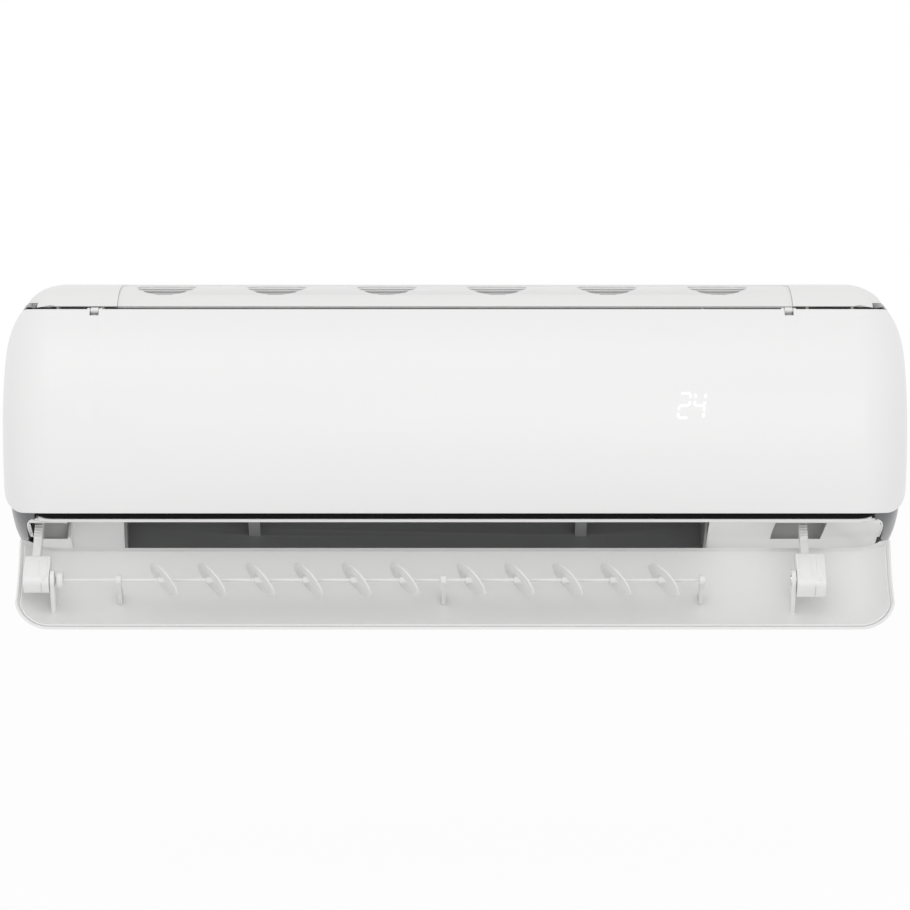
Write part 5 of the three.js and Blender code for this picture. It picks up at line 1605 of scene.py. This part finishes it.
@dataclass
class Inside:
    """What lies inside the casing: fan, coil, pipes, filters, boxes and boards."""

    def build(self) -> None:
        """Builds every inner piece."""
        for node, body, finish, edge in (
            ("fan_rotor", "fan", Finishes.FAN, 0.0),
            ("fan_bearing", "casing", Finishes.RUBBER, 0.4),
            ("fan_stub_shaft", "fan", Finishes.SHAFT, 0.2),
            ("motor_shaft", "fan", Finishes.SHAFT, 0.2),
            ("fan_motor", "casing", Finishes.MOTOR, 0.5),
            ("bearing_holder", "casing", Finishes.GUIDE, 0.3),
            ("motor_bracket", "casing", Finishes.GUIDE, 0.3),
            ("drain_tray", "casing", Finishes.GUIDE, 0.3),
            ("drain_hose", "casing", Finishes.RUBBER, 0.0),
            ("coil_front", "casing", Finishes.FINS, 0.0),
            ("coil_top", "casing", Finishes.FINS, 0.0),
            ("coil_rear", "casing", Finishes.FINS, 0.0),
            ("left_coil_plate", "casing", Finishes.PLATE, 0.2),
            ("right_coil_plate", "casing", Finishes.PLATE, 0.2),
            ("gas_pipe", "casing", Finishes.COPPER, 0.0),
            ("liquid_pipe", "casing", Finishes.COPPER, 0.0),
            ("gas_nut", "casing", Finishes.BRASS, 0.25),
            ("liquid_nut", "casing", Finishes.BRASS, 0.25),
            ("left_filter", "left_filter", Finishes.GAUZE, 0.2),
            ("right_filter", "right_filter", Finishes.GAUZE, 0.2),
            ("electric_box", "casing", Finishes.BOX, 0.4),
            ("box_cover", "casing", Finishes.BOX, 0.4),
            ("terminal_block", "casing", Finishes.TERMINAL, 0.25),
            ("circuit_board", "casing", Finishes.BOARD, 0.1),
            ("display_board", "casing", Finishes.BOARD, 0.1),
            ("manual_button", "manual_button", Finishes.CASING, 0.3),
        ):
            Refined(node, body, finish, edge).build()


# ------------------------------------------------------------------ studio
WHITE = (1, 1, 1, 1)


@dataclass
class Studio:
    """Camera, floor, world and lamps.

    Attributes:
        distance: camera's distance from the point that it aims at.
        aim: that point's depth and height.
        rise: how far above level the camera stands, in degrees.
        lens: focal length in millimetres on a 36 mm frame.
        floor: height of the floor.
        floor_size: the floor's width.
        floor_glow: how far the floor shows as white.
        surround: strength of the surround's light.
        lit: the point that the lamps face.
    """

    distance: float = 3.863
    aim: Section = (0.137, -0.024)
    rise: float = 1.5
    lens: float = 163.3
    floor: float = -0.42
    floor_size: float = 60.0
    floor_glow: float = 0.93
    surround: float = 0.8
    lit: tuple[float, float, float] = (0.0, -0.1, -0.02)

    def camera(self) -> None:
        """Adds a camera in front of the unit, a touch above level."""
        rise = math.radians(self.rise)
        place = (0, -self.aim[0] - self.distance * math.cos(rise), self.aim[1] + self.distance * math.sin(rise))
        bpy.ops.object.camera_add(location=place, rotation=(math.pi / 2 - rise, 0, 0))
        camera = bpy.context.object
        camera.name = "front_camera"
        camera.data.lens = self.lens
        camera.data.sensor_width = 36
        camera.data.clip_end = 50
        bpy.context.scene.camera = camera

    @staticmethod
    def seen(tree: bpy.types.NodeTree, ordinary: Socket, shown: Socket, amount: float) -> Socket:
        """Mixes in what camera, glossy and transmission rays see.

        Args:
            tree: the node tree.
            ordinary: shader for other rays.
            shown: shader for these rays.
            amount: how much of it they see.

        Returns:
            The mixed shader's socket.
        """
        rays = add_node(tree, "LightPath").outputs
        share = rays["Is Camera Ray"]
        for kind in ("Is Glossy Ray", "Is Transmission Ray"):
            share = add_node(tree, "Math", share, rays[kind], operation="MAXIMUM").outputs[0]
        share = add_node(tree, "Math", share, amount, operation="MULTIPLY").outputs[0]
        return add_node(tree, "MixShader", share, ordinary, shown).outputs[0]

    def world(self) -> None:
        """Adds an even pale surround that shows as white."""
        world = bpy.data.worlds.new("studio")
        world.use_nodes = True
        tree = world.node_tree
        tree.nodes.clear()
        dim = add_node(tree, "Background", color=WHITE, strength=self.surround).outputs[0]
        white = add_node(tree, "Background", color=WHITE).outputs[0]
        add_node(tree, "OutputWorld", self.seen(tree, dim, white, 1.0))
        bpy.context.scene.world = world

    def ground(self) -> None:
        """Adds a pale floor that keeps a soft shadow."""
        clear_selection()
        bpy.ops.mesh.primitive_plane_add(size=self.floor_size, location=(0, 0, self.floor))
        floor = bpy.context.object
        floor.name = "floor"
        bench = NodeBench("pale_floor")
        bench.sockets(base_color=(0.9, 0.9, 0.9, 1), roughness=0.9)
        glow = bench.node("Emission", color=WHITE).outputs[0]
        surface = self.seen(bench.tree, bench.shader.outputs[0], glow, self.floor_glow)
        feed(bench.tree, bench.tree.nodes["Material Output"].inputs["Surface"], surface)
        floor.data.materials.append(bench.material)

    def lamp(self, name: str, place: Sequence[float], size: float, power: float) -> None:
        """Adds a soft square lamp that faces the unit.

        Args:
            name: the lamp's name.
            place: where it stands, in metres.
            size: its width in metres.
            power: its power in watts.
        """
        bpy.ops.object.light_add(type="AREA", location=place)
        lamp = bpy.context.object
        lamp.name = name
        lamp.data.size = size
        lamp.data.energy = power
        lamp.rotation_euler = (Vector(self.lit) - Vector(place)).to_track_quat("-Z", "Y").to_euler()

    def build(self) -> None:
        """Sets the whole studio."""
        self.camera()
        self.world()
        self.ground()
        self.lamp("key_lamp", (-0.7, -2.6, 2.4), 2.6, 14)
        self.lamp("fill_lamp", (0.6, -3.4, -0.2), 2.4, 18)
        bpy.context.scene.view_settings.view_transform = "Standard"


def main() -> None:
    """Builds the dressed unit and its studio."""
    Studio().build()
    Casing().build()
    panel = FrontPanel()
    panel.build()
    Readout().build(panel.form)
    for part in (Outlet(), Flap(), Vanes(), FlapDrive(), Inside()):
        part.build()


if __name__ == "__main__":
    main()
